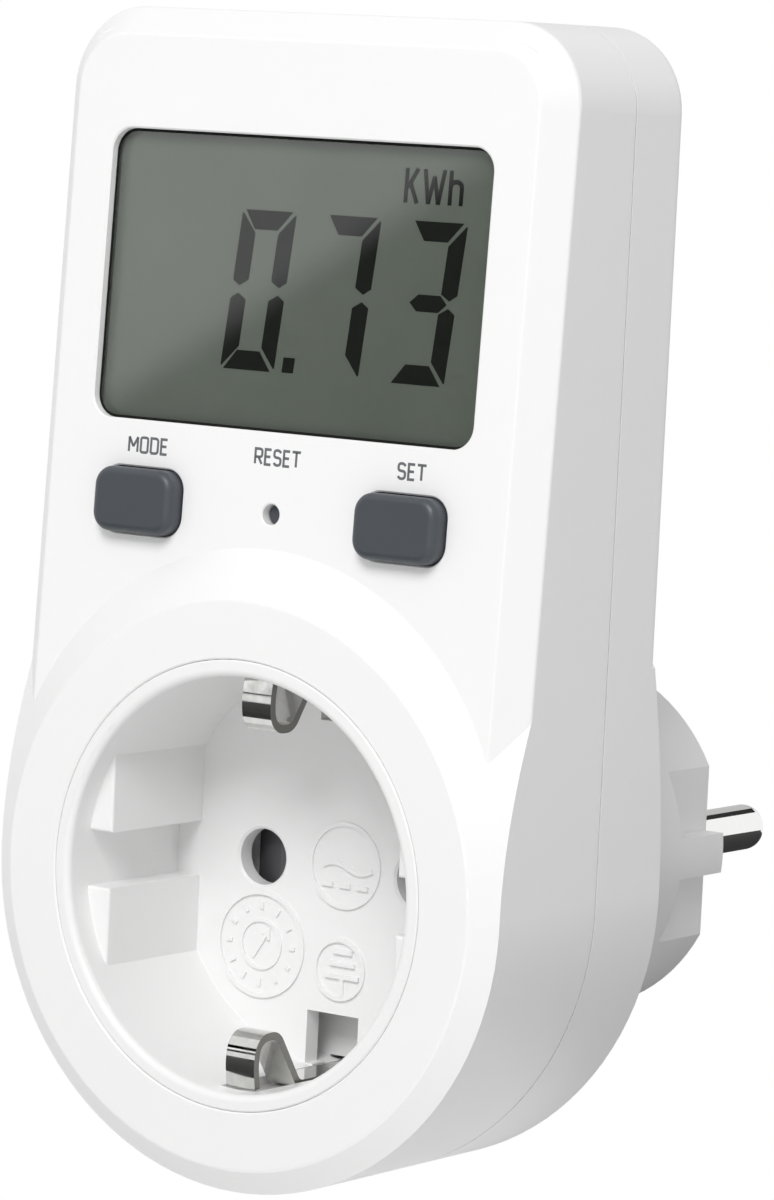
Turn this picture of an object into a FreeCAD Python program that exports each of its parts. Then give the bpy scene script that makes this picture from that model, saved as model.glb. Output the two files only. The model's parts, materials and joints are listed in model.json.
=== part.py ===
"""Plug-in power meter with a pass-through socket, as an assembly of separate pieces.

Millimetres. The origin is the centre of the plug's end face, between the two pins.
X runs to the right, Y runs back towards the wall socket and Z runs up, so the pins
point along +Y and the display, the buttons and the socket well face -Y. The front
face leans back, and the display stack is built square to it.
"""
import FreeCAD, Part
import Sketcher
import math
import os

doc = FreeCAD.newDocument("power_meter")
sheet = doc.addObject("Spreadsheet::Sheet", "Dim")
sub_parts = []


# ---------------------------------------------------------------- driving sizes
class Size:
    """A number together with the spreadsheet formula that gives it."""

    def __init__(self, value, formula):
        self.value = float(value)
        self.formula = formula

    def join(self, other, sign, value):
        return Size(value, "(%s %s %s)" % (self.formula, sign, other.formula))

    def __add__(self, other):
        other = as_size(other)
        return self.join(other, "+", self.value + other.value)

    def __sub__(self, other):
        other = as_size(other)
        return self.join(other, "-", self.value - other.value)

    def __mul__(self, other):
        other = as_size(other)
        return self.join(other, "*", self.value * other.value)

    def __truediv__(self, other):
        other = as_size(other)
        return self.join(other, "/", self.value / other.value)

    def __neg__(self):
        return Size(-self.value, "(0 - %s)" % self.formula)

    def __radd__(self, other):
        return as_size(other) + self

    def __rsub__(self, other):
        return as_size(other) - self

    def __rmul__(self, other):
        return as_size(other) * self


def as_size(number):
    """Return a plain number as a Size, and a Size unchanged."""
    if isinstance(number, Size):
        return number
    return Size(number, "(%r)" % float(number))


def sine(angle):
    """Sine of an angle in degrees."""
    return Size(math.sin(math.radians(angle.value)), "sin(%s)" % angle.formula)


def cosine(angle):
    """Cosine of an angle in degrees."""
    return Size(math.cos(math.radians(angle.value)), "cos(%s)" % angle.formula)


def dim(alias, value, note):
    """Write one driving size into the spreadsheet and return it."""
    row = len(dim.rows) + 1
    dim.rows.append(alias)
    sheet.set("A%d" % row, note)
    sheet.set("B%d" % row, str(value))
    sheet.setAlias("B%d" % row, alias)
    return Size(value, "Dim." + alias)


dim.rows = []
ZERO = as_size(0)
NEAR = 0.01
FULL_TURN = 360
CHIP_LEGS = 10
SPRING_TURNS = 7

# Case
case_side = dim("case_side", 5.75, "case beyond the insert's flange on each side")
top_margin = dim("top_margin", 11.65, "top of the case above the window")
corner = dim("corner", 8.0, "radius of the two upper corners")
lean = dim("lean", 3.13, "lean of the front face, degrees")
bevel = dim("bevel", 2.7, "bevel round the front face")
case_depth = dim("case_depth", 25.0, "front face at the socket axis to the back")
front_shell = dim("front_shell", 16.2, "front face at the socket axis to the parting line")
wall = dim("wall", 2.2, "wall of the case")
back_round = dim("back_round", 1.2, "rounding of the back edge")
edge_round = dim("edge_round", 0.5, "softening of the front bevel's edges")
collar_round = dim("collar_round", 0.6, "rounding of the collar's and the round boss's edge")
seam_gap = dim("seam_gap", 0.22, "shadow gap at the parting line")
seam_deep = dim("seam_deep", 0.45, "depth of that gap")
mouth_bevel = dim("mouth_bevel", 0.15, "bevel round the openings of the front cover")
collar_rise = dim("collar_rise", 1.5, "collar face in front of the front face")
collar_side = dim("collar_side", 2.45, "case beyond the collar's flat face")
collar_fall = dim("collar_fall", 0.68, "slope of the collar's cone")
drum_rise = dim("drum_rise", 3.5, "round boss behind the case")
drum_side = dim("drum_side", 2.75, "case beyond the round boss's flat face")
drum_fall = dim("drum_fall", 0.38, "slope of the boss's cone")
tongue = dim("tongue", 1.0, "thickness of the tongue at the parting line")
tongue_reach = dim("tongue_reach", 1.6, "length of that tongue")
slip = dim("slip", 0.15, "clearance between fitted mouldings")

# Plug
plug_length = dim("plug_length", 29.8, "plug body behind the round boss")
plug_radius = dim("plug_radius", 18.3, "plug body")
plug_wall = dim("plug_wall", 2.0, "wall of the plug body")
plug_end = dim("plug_end", 3.0, "end wall that carries the pins")
plug_flat = dim("plug_flat", 16.1, "half the distance between the side flats")
flat_length = dim("flat_length", 8.6, "length of the side flats")
rib_width = dim("rib_width", 4.1, "guide rib on each flat")
plug_round = dim("plug_round", 0.7, "bevel of the plug's end")
pin_spacing = dim("pin_spacing", 19.0, "between the pins' axes")
pin_radius = dim("pin_radius", 2.4, "plug pin")
pin_shank = dim("pin_shank", 0.25, "pin's shank in the end wall, beyond the pin")
pin_length = dim("pin_length", 19.0, "plug pin beyond the end face")
pin_nose = dim("pin_nose", 1.8, "rounding of the pin's tip")
pin_flange = dim("pin_flange", 1.2, "thickness of the pin's inner flange")
stub_radius = dim("stub_radius", 1.5, "stub behind the pin's flange")
stub_length = dim("stub_length", 6.3, "length of that stub")
channel_width = dim("channel_width", 7.0, "earth channel along the plug")
channel_floor = dim("channel_floor", 16.2, "bottom of the channel from the plug's axis")

# Socket insert
well_radius = dim("well_radius", 20.0, "socket well")
well_depth = dim("well_depth", 17.5, "socket well")
rim_width = dim("rim_width", 1.62, "rim of the insert that shows in the collar")
rim_gap = dim("rim_gap", 0.05, "radial gap between the rim and the collar")
flange_width = dim("flange_width", 4.0, "flange behind the collar, beyond the well")
flange = dim("flange", 1.5, "thickness of the flange")
well_wall = dim("well_wall", 1.4, "wall of the well")
well_floor = dim("well_floor", 2.0, "floor of the well")
well_round = dim("well_round", 0.7, "rounding of the well's mouth")
block_thick = dim("block_thick", 2.9, "guide blocks on the well's wall")
block_drop = dim("block_drop", 3.0, "top of the blocks below the rim")
groove_width = dim("groove_width", 5.5, "groove between the blocks")
block_round = dim("block_round", 0.3, "rounding of the blocks' edges")
hole_radius = dim("hole_radius", 2.8, "pin holes")
hole_bevel = dim("hole_bevel", 0.25, "bevel of the pin holes")

# Display and buttons, measured along the leaning front face
window_side = dim("window_side", 7.31, "case beyond the window on each side")
window_low = dim("window_low", 43.25, "lower edge of the window")
window_tall = dim("window_tall", 28.1, "height of the window")
window_corner = dim("window_corner", 2.3, "corner of the window")
window_drop = dim("window_drop", 0.9, "window pane below the front face")
pane_thick = dim("pane_thick", 0.6, "thickness of the pane")
pane_lap = dim("pane_lap", 1.5, "pane beyond the window on each side")
pane_corner = dim("pane_corner", 1.0, "corner of the pane")
cell_lap = dim("cell_lap", 1.8, "display cell beyond the window on each side")
cell_corner = dim("cell_corner", 0.4, "corner of the cell")
cell_depth = dim("cell_depth", 2.2, "thickness of the display cell")
cell_gap = dim("cell_gap", 0.05, "air between the pane and the cell")
holder_rim = dim("holder_rim", 1.2, "wall of the display holder")
holder_ledge = dim("holder_ledge", 3.4, "ledge of the holder below the cell")
connector_tall = dim("connector_tall", 2.0, "height of the connector strip")
peg_inset = dim("peg_inset", 2.5, "upper holder pegs below the cell's upper edge")
peg_radius = dim("peg_radius", 0.7, "holder peg")
post_inset = dim("post_inset", 2.2, "board posts from the board's side")
post_rise = dim("post_rise", 2.6, "board posts above the board's lower edge")
post_radius = dim("post_radius", 2.0, "board post")
board_depth = dim("board_depth", 8.2, "front of the board behind the front face")
board_thick = dim("board_thick", 1.6, "circuit board")
board_side = dim("board_side", 4.15, "case beyond the board on each side")
board_drop = dim("board_drop", 4.65, "lower edge of the board below the buttons")
board_rise = dim("board_rise", 1.05, "upper edge of the board above the window")
key_drop = dim("key_drop", 7.8, "buttons and reset hole below the window")
key_side = dim("key_side", 14.25, "case's side to a button's middle")
key_wide = dim("key_wide", 9.5, "button")
key_tall = dim("key_tall", 6.3, "button")
key_proud = dim("key_proud", 1.9, "button in front of the face")
key_corner = dim("key_corner", 1.9, "corner of the button")
key_lip = dim("key_lip", 0.9, "retaining lip round the button")
key_gap = dim("key_gap", 0.1, "gap round the button")
key_travel = dim("key_travel", 0.5, "travel of a button")
key_round = dim("key_round", 0.8, "rounding of the button's face")
stem_radius = dim("stem_radius", 1.5, "stem of a button")
reset_radius = dim("reset_radius", 1.0, "reset hole")
switch_side = dim("switch_side", 6.0, "switch body")
switch_height = dim("switch_height", 3.5, "switch body")
plunger_radius = dim("plunger_radius", 1.75, "switch plunger")
plunger_slip = dim("plunger_slip", 0.08, "radial clearance of the plunger")
plunger_proud = dim("plunger_proud", 0.8, "plunger in front of the switch body")
plunger_rooted = dim("plunger_rooted", 1.6, "plunger inside the switch body")

# Fasteners
screw_side = dim("screw_side", 6.35, "case's side to an upper screw")
screw_down = dim("screw_down", 5.2, "case's top to an upper screw")
screw_edge = dim("screw_edge", 4.245, "case's round lower edge to a lower screw")
screw_angle = dim("screw_angle", 40.31, "lower screws from straight down, degrees")
boss_radius = dim("boss_radius", 3.2, "screw boss of the front cover")
pillar_radius = dim("pillar_radius", 3.9, "screw pillar of the rear cover")
screw_sink = dim("screw_sink", 2.0, "screw's seat behind the parting line")
small_screw = dim("small_screw", 0.9, "shank of a board screw")
screw_radius = dim("screw_radius", 1.3, "screw shank")
head_radius = dim("head_radius", 2.4, "screw head")
head_height = dim("head_height", 1.8, "screw head")
drive_long = dim("drive_long", 2.7, "length of the cross recess")
drive_wide = dim("drive_wide", 0.55, "width of the cross recess")
screw_length = dim("screw_length", 11.0, "screw shank")

# Contacts and shutter
strip = dim("strip", 0.8, "thickness of the contact strips")
clip_width = dim("clip_width", 3.4, "earth clip in the well")
clip_bow = dim("clip_bow", 5.5, "crown of the earth clip from the well's wall")
clip_drop = dim("clip_drop", 2.9, "front of the earth clip below the rim")
clip_inset = dim("clip_inset", 0.2, "earth strip's run inside the well's wall")
clip_slack = dim("clip_slack", 0.45, "room beside the clip in its groove")
slot_width = dim("slot_width", 6.2, "slot in the well's floor at each earth clip")
clip_arch = dim("clip_arch", 7.3, "length of the clip's arch")
clip_belly = dim("clip_belly", 0.35, "belly of the clip's front leg")
shutter_space = dim("shutter_space", 2.8, "depth of the shutter's chamber")
shutter_play = dim("shutter_play", 0.1, "clearance in front of and behind the shutter")
shutter_half = dim("shutter_half", 6.2, "half the height of the shutter")
shutter_corner = dim("shutter_corner", 2.5, "corner of the shutter")
shutter_notch = dim("shutter_notch", 3.8, "bottom of the spring's notch in the shutter")
rail_half = dim("rail_half", 13.0, "half the length of a guide rail")
peg_x = dim("peg_x", 3.0, "left side of the peg that holds the spring")
spring_length = dim("spring_length", 9.4, "spring at rest")
spring_radius = dim("spring_radius", 0.9, "coil of the spring, to the wire's middle")
spring_wire = dim("spring_wire", 0.3, "wire of the spring")
shutter_travel = dim("shutter_travel", 6.3, "travel of the shutter")
shutter_lap = dim("shutter_lap", 3.3, "shutter beyond a hole's centre")
socket_radius = dim("socket_radius", 3.6, "outside of a contact tube")
throat_radius = dim("throat_radius", 2.45, "inside of a contact tube")
socket_length = dim("socket_length", 16.0, "contact tube")
chamber_radius = dim("chamber_radius", 5.9, "outside of a contact chamber")
tail_high = dim("tail_high", 3.3, "neutral contact's tail above the pin's axis")
tail_width = dim("tail_width", 4.4, "neutral contact's tail")
tab_high = dim("tab_high", 8.4, "top of the live contact's tab")
press_angle = dim("press_angle", 35.0, "posts that press on the bridge, degrees")
carrier_disc = dim("carrier_disc", 2.0, "disc of the contact carrier")
bridge = dim("bridge", 0.6, "thickness of the earth bridge")
bridge_inset = dim("bridge_inset", 2.1, "inner edge of the earth bridge inside the well's wall")
bridge_width = dim("bridge_width", 3.3, "width of the earth bridge")
lead_radius = dim("lead_radius", 0.85, "insulated lead")
lead_bend = dim("lead_bend", 1.9, "bend of a lead")

# Parts on the back of the board
chip_side = dim("chip_side", 12.6, "board's left side to the metering chip's middle")
chip_rise = dim("chip_rise", 21.8, "metering chip above the board's lower edge")
chip_long = dim("chip_long", 12.8, "metering chip")
chip_wide = dim("chip_wide", 7.5, "metering chip")
leg_pitch = dim("leg_pitch", 1.27, "pitch of the chip's legs")
film_side = dim("film_side", 1.9, "film capacitor to the board's right side")
film_rise = dim("film_rise", 30.2, "film capacitor above the board's lower edge")
film_gap = dim("film_gap", 1.7, "cell holder to the film capacitor")
film_wide = dim("film_wide", 8.0, "film capacitor")
film_thick = dim("film_thick", 7.4, "film capacitor")
can_gap = dim("can_gap", 1.0, "smoothing capacitor to the varistor")
can_long = dim("can_long", 11.5, "smoothing capacitor")
can_radius = dim("can_radius", 3.15, "smoothing capacitor")
can_rise = dim("can_rise", 23.7, "smoothing capacitor above the board's lower edge")
varistor_side = dim("varistor_side", 6.2, "varistor's middle to the board's right side")
varistor_rise = dim("varistor_rise", 22.7, "varistor above the board's lower edge")
varistor_radius = dim("varistor_radius", 4.4, "varistor")
varistor_thick = dim("varistor_thick", 4.2, "varistor")
crystal_side = dim("crystal_side", 5.6, "board's left side to the crystal")
crystal_rise = dim("crystal_rise", 13.8, "crystal above the board's lower edge")
resistor_rise = dim("resistor_rise", 15.4, "fuse resistor above the board's lower edge")
tray_side = dim("tray_side", 3.7, "board's left side to the cell holder")
tray_long = dim("tray_long", 26.4, "cell holder")
button_rise = dim("button_rise", 34.6, "button cells above the board's lower edge")
button_radius = dim("button_radius", 5.8, "button cell")
shunt_rise = dim("shunt_rise", 8.2, "current shunt above the board's lower edge")
shunt_half = dim("shunt_half", 9.0, "half the length of the shunt")

doc.recompute()

# Stations along Y, from the wall side to the front
drum_back = -plug_length
case_back = drum_back - drum_rise
front = case_back - case_depth
parting = front + front_shell
collar = front - collar_rise
well_bottom = collar + well_depth
floor_back = well_bottom + well_floor
carrier_front = floor_back + shutter_space
carrier_back = carrier_front + carrier_disc
drum_inside = drum_back - wall
case_inside = case_back - wall
end_inside = ZERO - plug_end

lean_cos = cosine(lean)
lean_sin = sine(lean)
lean_tan = lean_sin / lean_cos
half_pin = pin_spacing / 2

# Sizes round the well, and the case that follows from them
rim_radius = well_radius + rim_width
flange_radius = well_radius + flange_width
block_flat = well_radius - block_thick
clip_run = well_radius - clip_inset
clip_reach = well_radius - clip_bow
bridge_inner = well_radius - bridge_inset
bridge_outer = bridge_inner + bridge_width
half_width = flange_radius + case_side
collar_radius = half_width - collar_side
drum_radius = half_width - drum_side

# Window, buttons and screws in the case
window_half = half_width - window_side
window_high = window_low + window_tall
case_top = window_high + top_margin
key_row = window_low - key_drop
key_pitch = half_width - key_side
screw_x = half_width - screw_side
screw_top = case_top - screw_down
screw_ring = half_width - screw_edge
screw_low_x = screw_ring * sine(screw_angle)
screw_low = screw_ring * cosine(screw_angle)
press_ring = (bridge_inner + bridge_outer) / 2
press_x = press_ring * cosine(press_angle)
press_z = press_ring * sine(press_angle)

# Board and the parts on its back
board_half = half_width - board_side
board_low = key_row - board_drop
board_high = window_high + board_rise
tray_left = tray_side - board_half
chip_x = chip_side - board_half
crystal_left = crystal_side - board_half
film_left = tray_left + tray_long + film_gap
film_long = board_half - film_side - film_left
varistor_x = board_half - varistor_side
can_left = varistor_x - varistor_radius - can_gap - can_long
chip_z = board_low + chip_rise
film_low = board_low + film_rise
can_z = board_low + can_rise
varistor_z = board_low + varistor_rise
crystal_z = board_low + crystal_rise
resistor_z = board_low + resistor_rise
button_z = board_low + button_rise
shunt_z = board_low + shunt_rise
board_back = board_depth + board_thick
screw_seat = parting + screw_sink
tube_end = carrier_front + socket_length
stub_end = end_inside - pin_flange - stub_length


# ---------------------------------------------------------------- shared helpers
def bind(thing, **sizes):
    """Tie properties of an object to their sizes."""
    for name, size in sizes.items():
        thing.setExpression(name.replace("__", "."), as_size(size).formula)


def keep(thing, label):
    """Give a finished sub-part its name and list it for writing."""
    thing.Label = label
    sub_parts.append(thing)
    return thing


def new_body(label):
    """Start the body of one moulded, turned or formed piece."""
    body = doc.addObject("PartDesign::Body", label + "_body")
    return keep(body, label)


def origin_part(body, role):
    """Return one of a body's own origin planes or axes."""
    for feature in body.Origin.OriginFeatures:
        if feature.Role == role:
            return feature
    raise ValueError(role)


def sketch_on(body, name, plane, at=ZERO, leaning=False):
    """Start a sketch on an XZ, XY or YZ plane, moved along Y, Z or X to a station.

    A leaning sketch lies square to the front face's normal, that far behind the face.
    """
    sketch = body.newObject("Sketcher::SketchObject", name)
    sketch.AttachmentSupport = [(origin_part(body, plane + "_Plane"), "")]
    sketch.MapMode = "FlatFace"
    at = as_size(at)
    if leaning:
        tilt = FreeCAD.Rotation(FreeCAD.Vector(1, 0, 0), -lean.value)
        sketch.AttachmentOffset = FreeCAD.Placement(FreeCAD.Vector(), tilt)
        bind(sketch, AttachmentOffset__Rotation__Angle=-lean)
        bind(sketch, AttachmentOffset__Base__y=ZERO - at * lean_sin)
        bind(sketch, AttachmentOffset__Base__z=ZERO - front - at * lean_cos)
    elif plane == "XZ":
        bind(sketch, AttachmentOffset__Base__z=ZERO - at)
    else:
        bind(sketch, AttachmentOffset__Base__z=at)
    return sketch


def fix(sketch, kind, *target_and_size):
    """Add a dimension to a sketch and tie it to its size."""
    target = target_and_size[:-1]
    size = as_size(target_and_size[-1])
    number = sketch.addConstraint(Sketcher.Constraint(kind, *target, size.value))
    sketch.setExpression("Constraints[%d]" % number, size.formula)


def fix_point(sketch, geometry, point, across, up):
    """Fix one point of a sketch by its two distances from the origin."""
    fix(sketch, "DistanceX", -1, 1, geometry, point, across)
    fix(sketch, "DistanceY", -1, 1, geometry, point, up)


def polygon(sketch, corners):
    """Draw a closed outline of straight lines."""
    corners = [(as_size(across), as_size(up)) for across, up in corners]
    count = len(corners)
    spots = [FreeCAD.Vector(across.value, up.value, 0) for across, up in corners]
    for i in range(count):
        sketch.addGeometry(Part.LineSegment(spots[i], spots[(i + 1) % count]), False)
    for i in range(count):
        sketch.addConstraint(Sketcher.Constraint("Coincident", i, 2, (i + 1) % count, 1))
    for i, (across, up) in enumerate(corners):
        fix_point(sketch, i, 1, across, up)
    return sketch


def circle(sketch, across, up, radius):
    """Draw a circle."""
    across, up, radius = as_size(across), as_size(up), as_size(radius)
    middle = FreeCAD.Vector(across.value, up.value, 0)
    normal = FreeCAD.Vector(0, 0, 1)
    number = sketch.addGeometry(Part.Circle(middle, normal, radius.value), False)
    fix_point(sketch, number, 3, across, up)
    fix(sketch, "Radius", number, radius)
    return sketch


def corner_arc(sketch, across, up, radius, from_angle):
    """Draw a quarter or half circle whose ends lie square to its centre."""
    middle = FreeCAD.Vector(across.value, up.value, 0)
    round_edge = Part.Circle(middle, FreeCAD.Vector(0, 0, 1), radius.value)
    start, turn = from_angle
    arc = Part.ArcOfCircle(round_edge, math.radians(start), math.radians(start + turn))
    number = sketch.addGeometry(arc, False)
    fix_point(sketch, number, 3, across, up)
    fix(sketch, "Radius", number, radius)
    for point, angle in ((1, start), (2, start + turn)):
        way = "Horizontal" if angle % 180 == 0 else "Vertical"
        sketch.addConstraint(Sketcher.Constraint(way, number, point, number, 3))
    return number


def join_arcs(sketch, arcs):
    """Join arcs, in order, by straight lines into one closed outline."""
    for i, number in enumerate(arcs):
        following = arcs[(i + 1) % len(arcs)]
        start = sketch.getPoint(number, 2)
        end = sketch.getPoint(following, 1)
        line = sketch.addGeometry(Part.LineSegment(start, end), False)
        sketch.addConstraint(Sketcher.Constraint("Coincident", number, 2, line, 1))
        sketch.addConstraint(Sketcher.Constraint("Coincident", line, 2, following, 1))


def rounded_rectangle(sketch, left, right, low, high, radius):
    """Draw a rectangle with rounded corners."""
    left, right, low, high, radius = [as_size(s) for s in (left, right, low, high, radius)]
    join_arcs(sketch, [
        corner_arc(sketch, right - radius, high - radius, radius, (0, 90)),
        corner_arc(sketch, left + radius, high - radius, radius, (90, 90)),
        corner_arc(sketch, left + radius, low + radius, radius, (180, 90)),
        corner_arc(sketch, right - radius, low + radius, radius, (270, 90)),
    ])
    return sketch


def case_outline(sketch, inset=ZERO):
    """Draw the case's outline: a half circle below, straight sides, two round corners."""
    half = half_width - inset
    top = case_top - inset
    small = corner - inset
    join_arcs(sketch, [
        corner_arc(sketch, half - small, top - small, small, (0, 90)),
        corner_arc(sketch, small - half, top - small, small, (90, 90)),
        corner_arc(sketch, ZERO, ZERO, half, (180, 180)),
    ])
    return sketch


def feature_from(body, kind, sketch, name):
    """Add a feature that is made from a sketch."""
    feature = body.newObject("PartDesign::" + kind, name)
    feature.Profile = sketch
    sketch.Visibility = False
    return feature


def grow(body, name, draw, front_at, back_at, leaning=False):
    """Add a prism along Y between two stations; draw fills its sketch."""
    sketch = sketch_on(body, name + "_sketch", "XZ", back_at, leaning)
    draw(sketch)
    pad = feature_from(body, "Pad", sketch, name)
    bind(pad, Length=as_size(back_at) - front_at)
    return pad


def cut(body, name, draw, front_at, back_at, leaning=False):
    """Remove a prism along Y between two stations; draw fills its sketch."""
    sketch = sketch_on(body, name + "_sketch", "XZ", front_at, leaning)
    draw(sketch)
    pocket = feature_from(body, "Pocket", sketch, name)
    bind(pocket, Length=as_size(back_at) - front_at)
    return pocket


def side_prism(body, kind, name, corners, width, middle=ZERO):
    """Add or remove a prism along X, centred on a station, from corners given as (Y, Z)."""
    sketch = sketch_on(body, name + "_sketch", "YZ", middle)
    polygon(sketch, corners)
    feature = feature_from(body, kind, sketch, name)
    feature.Midplane = True
    bind(feature, Length=width)
    return feature


def turn(body, kind, name, corners):
    """Add or remove a body of revolution about Y from corners given as (radius, Y)."""
    sketch = sketch_on(body, name + "_sketch", "XY")
    polygon(sketch, corners)
    feature = feature_from(body, kind, sketch, name)
    feature.ReferenceAxis = (sketch, ["V_Axis"])
    feature.Angle = FULL_TURN
    return feature


def edges_that(shape, test):
    """Name the edges of a shape that pass a test."""
    return ["Edge%d" % (i + 1) for i, edge in enumerate(shape.Edges) if test(edge)]


def dress(body, kind, name, size, test):
    """Fillet or chamfer the edges of a body that pass a test."""
    doc.recompute()
    base = body.Tip
    names = edges_that(base.Shape, test)
    if not names:
        raise ValueError("%s finds no edge" % name)
    feature = body.newObject("PartDesign::" + kind, name)
    feature.Base = (base, names)
    if kind == "Fillet":
        bind(feature, Radius=size)
    else:
        bind(feature, Size=size)
    return feature


def samples(edge):
    """The two ends and the middle of an edge."""
    first = edge.FirstParameter
    last = edge.LastParameter
    return [edge.valueAt(first), edge.valueAt((first + last) / 2), edge.valueAt(last)]


def lies_at(edge, y):
    """Test that an edge lies in the plane at a station along Y."""
    return all(abs(point.y - as_size(y).value) < NEAR for point in samples(edge))


def lies_deep(edge, depth):
    """Test that an edge lies at a depth behind the leaning front face."""
    for point in samples(edge):
        found = (point.y - front.value) * lean_cos.value - point.z * lean_sin.value
        if abs(found - as_size(depth).value) > NEAR:
            return False
    return True


def reach(point):
    """Distance of a point from the socket's axis."""
    return math.hypot(point.x, point.z)


def is_round(edge, radius):
    """Test that an edge is a circle or an arc of a radius."""
    return isinstance(edge.Curve, Part.Circle) and abs(edge.Curve.Radius - as_size(radius).value) < NEAR


def same_place(edge):
    """Test that an edge runs straight along Y."""
    first, middle, last = samples(edge)
    return max(abs(last.x - first.x), abs(last.z - first.z), abs(middle.x - first.x)) < NEAR


def on_outline(edge):
    """Test that an edge lies on the case's outline."""
    shoulder_x = half_width.value - corner.value
    shoulder_z = case_top.value - corner.value
    for point in samples(edge):
        across = abs(point.x)
        if point.z < 0:
            gap = half_width.value - reach(point)
        elif across > shoulder_x and point.z > shoulder_z:
            gap = corner.value - math.hypot(across - shoulder_x, point.z - shoulder_z)
        else:
            gap = min(half_width.value - across, case_top.value - point.z)
        if abs(gap) > NEAR:
            return False
    return True


def lean_place(thing, across, deep, up, turn_about_x=ZERO):
    """Place a primitive by its place across, behind and up the leaning front face."""
    angle = as_size(turn_about_x) - lean
    tilt = FreeCAD.Rotation(FreeCAD.Vector(1, 0, 0), angle.value)
    thing.Placement = FreeCAD.Placement(FreeCAD.Vector(), tilt)
    bind(thing, Placement__Rotation__Angle=angle)
    bind(thing, Placement__Base__x=across)
    bind(thing, Placement__Base__y=front + deep * lean_cos + up * lean_sin)
    bind(thing, Placement__Base__z=up * lean_cos - deep * lean_sin)


def lean_box(name, left, right, shallow, deep, low, high):
    """Make a block that stands square to the leaning front face."""
    block = doc.addObject("Part::Box", name)
    bind(block, Length=as_size(right) - left, Width=as_size(deep) - shallow)
    bind(block, Height=as_size(high) - low)
    lean_place(block, left, shallow, low)
    return block


def lean_rod(name, across, shallow, deep, up, radius):
    """Make a round rod along the leaning front face's normal."""
    rod = doc.addObject("Part::Cylinder", name)
    bind(rod, Radius=radius, Height=as_size(deep) - shallow)
    lean_place(rod, across, shallow, up, -90)
    return rod


def lean_cross_rod(name, left, right, deep, up, radius):
    """Make a round rod along X at a depth behind the leaning front face."""
    rod = doc.addObject("Part::Cylinder", name)
    bind(rod, Radius=radius, Height=as_size(right) - left)
    rod.Placement = FreeCAD.Placement(FreeCAD.Vector(), FreeCAD.Rotation(FreeCAD.Vector(0, 1, 0), 90))
    bind(rod, Placement__Base__x=left)
    bind(rod, Placement__Base__y=front + deep * lean_cos + up * lean_sin)
    bind(rod, Placement__Base__z=up * lean_cos - deep * lean_sin)
    return rod


def straight_rod(name, across, front_at, back_at, up, radius):
    """Make a round rod along Y."""
    rod = doc.addObject("Part::Cylinder", name)
    bind(rod, Radius=radius, Height=as_size(back_at) - front_at)
    rod.Placement = FreeCAD.Placement(FreeCAD.Vector(), FreeCAD.Rotation(FreeCAD.Vector(1, 0, 0), -90))
    bind(rod, Placement__Base__x=across, Placement__Base__y=front_at, Placement__Base__z=up)
    return rod


def upright_box(name, across, up, wide, tall, front_at):
    """Make a block centred at a place across and up, 2 mm deep from a station."""
    block = doc.addObject("Part::Box", name)
    bind(block, Length=wide, Width=2, Height=tall)
    bind(block, Placement__Base__x=across - wide / 2, Placement__Base__y=front_at)
    bind(block, Placement__Base__z=up - tall / 2)
    return block


def fuse(name, pieces):
    """Join primitives into one piece."""
    whole = doc.addObject("Part::MultiFuse", name)
    whole.Shapes = pieces
    return whole


def subtract(name, base, tool):
    """Take one primitive from another."""
    rest = doc.addObject("Part::Cut", name)
    rest.Base = base
    rest.Tool = tool
    return rest


def group(name, pieces):
    """Hold identical pieces as separate solids of one sub-part."""
    compound = doc.addObject("Part::Compound", name)
    compound.Links = pieces
    return compound


def bent_path(stops):
    """Join straight runs into a wire by tangent arcs; each stop is a point and its bend."""
    edges = []
    last = stops[0][0]
    for (before, ignored), (here, radius), (after, unused) in zip(stops, stops[1:], stops[2:]):
        back = (before - here).normalize()
        ahead = (after - here).normalize()
        half = back.getAngle(ahead) / 2
        tangent = radius / math.tan(half)
        middle = here + (back + ahead).normalize() * (radius / math.sin(half) - radius)
        edges.append(Part.LineSegment(last, here + back * tangent).toShape())
        edges.append(Part.Arc(here + back * tangent, middle, here + ahead * tangent).toShape())
        last = here + ahead * tangent
    edges.append(Part.LineSegment(last, stops[-1][0]).toShape())
    return Part.Wire(edges)


def formed_strip(stops, half):
    """Fold a contact strip along (Y, Z, bend) stops; half is half its width."""
    points = [(FreeCAD.Vector(-half.value, y.value, z.value), bend) for y, z, bend in stops]
    face = bent_path(points).makeOffset2D(-strip.value, join=2, fill=True, openResult=True)
    return face.extrude(FreeCAD.Vector(half.value * 2, 0, 0))


def set_shape(name, shape):
    """Hold a formed shape as a plain feature at the origin."""
    feature = doc.addObject("Part::Feature", name)
    feature.Shape = shape
    feature.Placement = FreeCAD.Placement()
    return feature

# ---------------------------------------------------------------- front cover
def key_middle(side):
    """Place of a button's centre: side is -1 on the left, 1 on the right, 0 for reset."""
    return key_pitch * side


def screw_places():
    """Centres of the four case screws, the two upper ones first."""
    return [
        (-screw_x, screw_top),
        (screw_x, screw_top),
        (-screw_low_x, -screw_low),
        (screw_low_x, -screw_low),
    ]


def post_places():
    """Centres of the two posts that carry the board."""
    side = board_half - post_inset
    return [(-side, board_low + post_rise), (side, board_low + post_rise)]


def cone_station(radius):
    """Station of the collar's cone at a radius."""
    return collar + (radius - collar_radius) * collar_fall


def outside_outline(sketch):
    """Draw a wide frame round the case's outline, for trimming."""
    rim = half_width * 2
    high = case_top + half_width
    polygon(sketch, [(-rim, -rim), (rim, -rim), (rim, high), (-rim, high)])
    case_outline(sketch)


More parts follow.
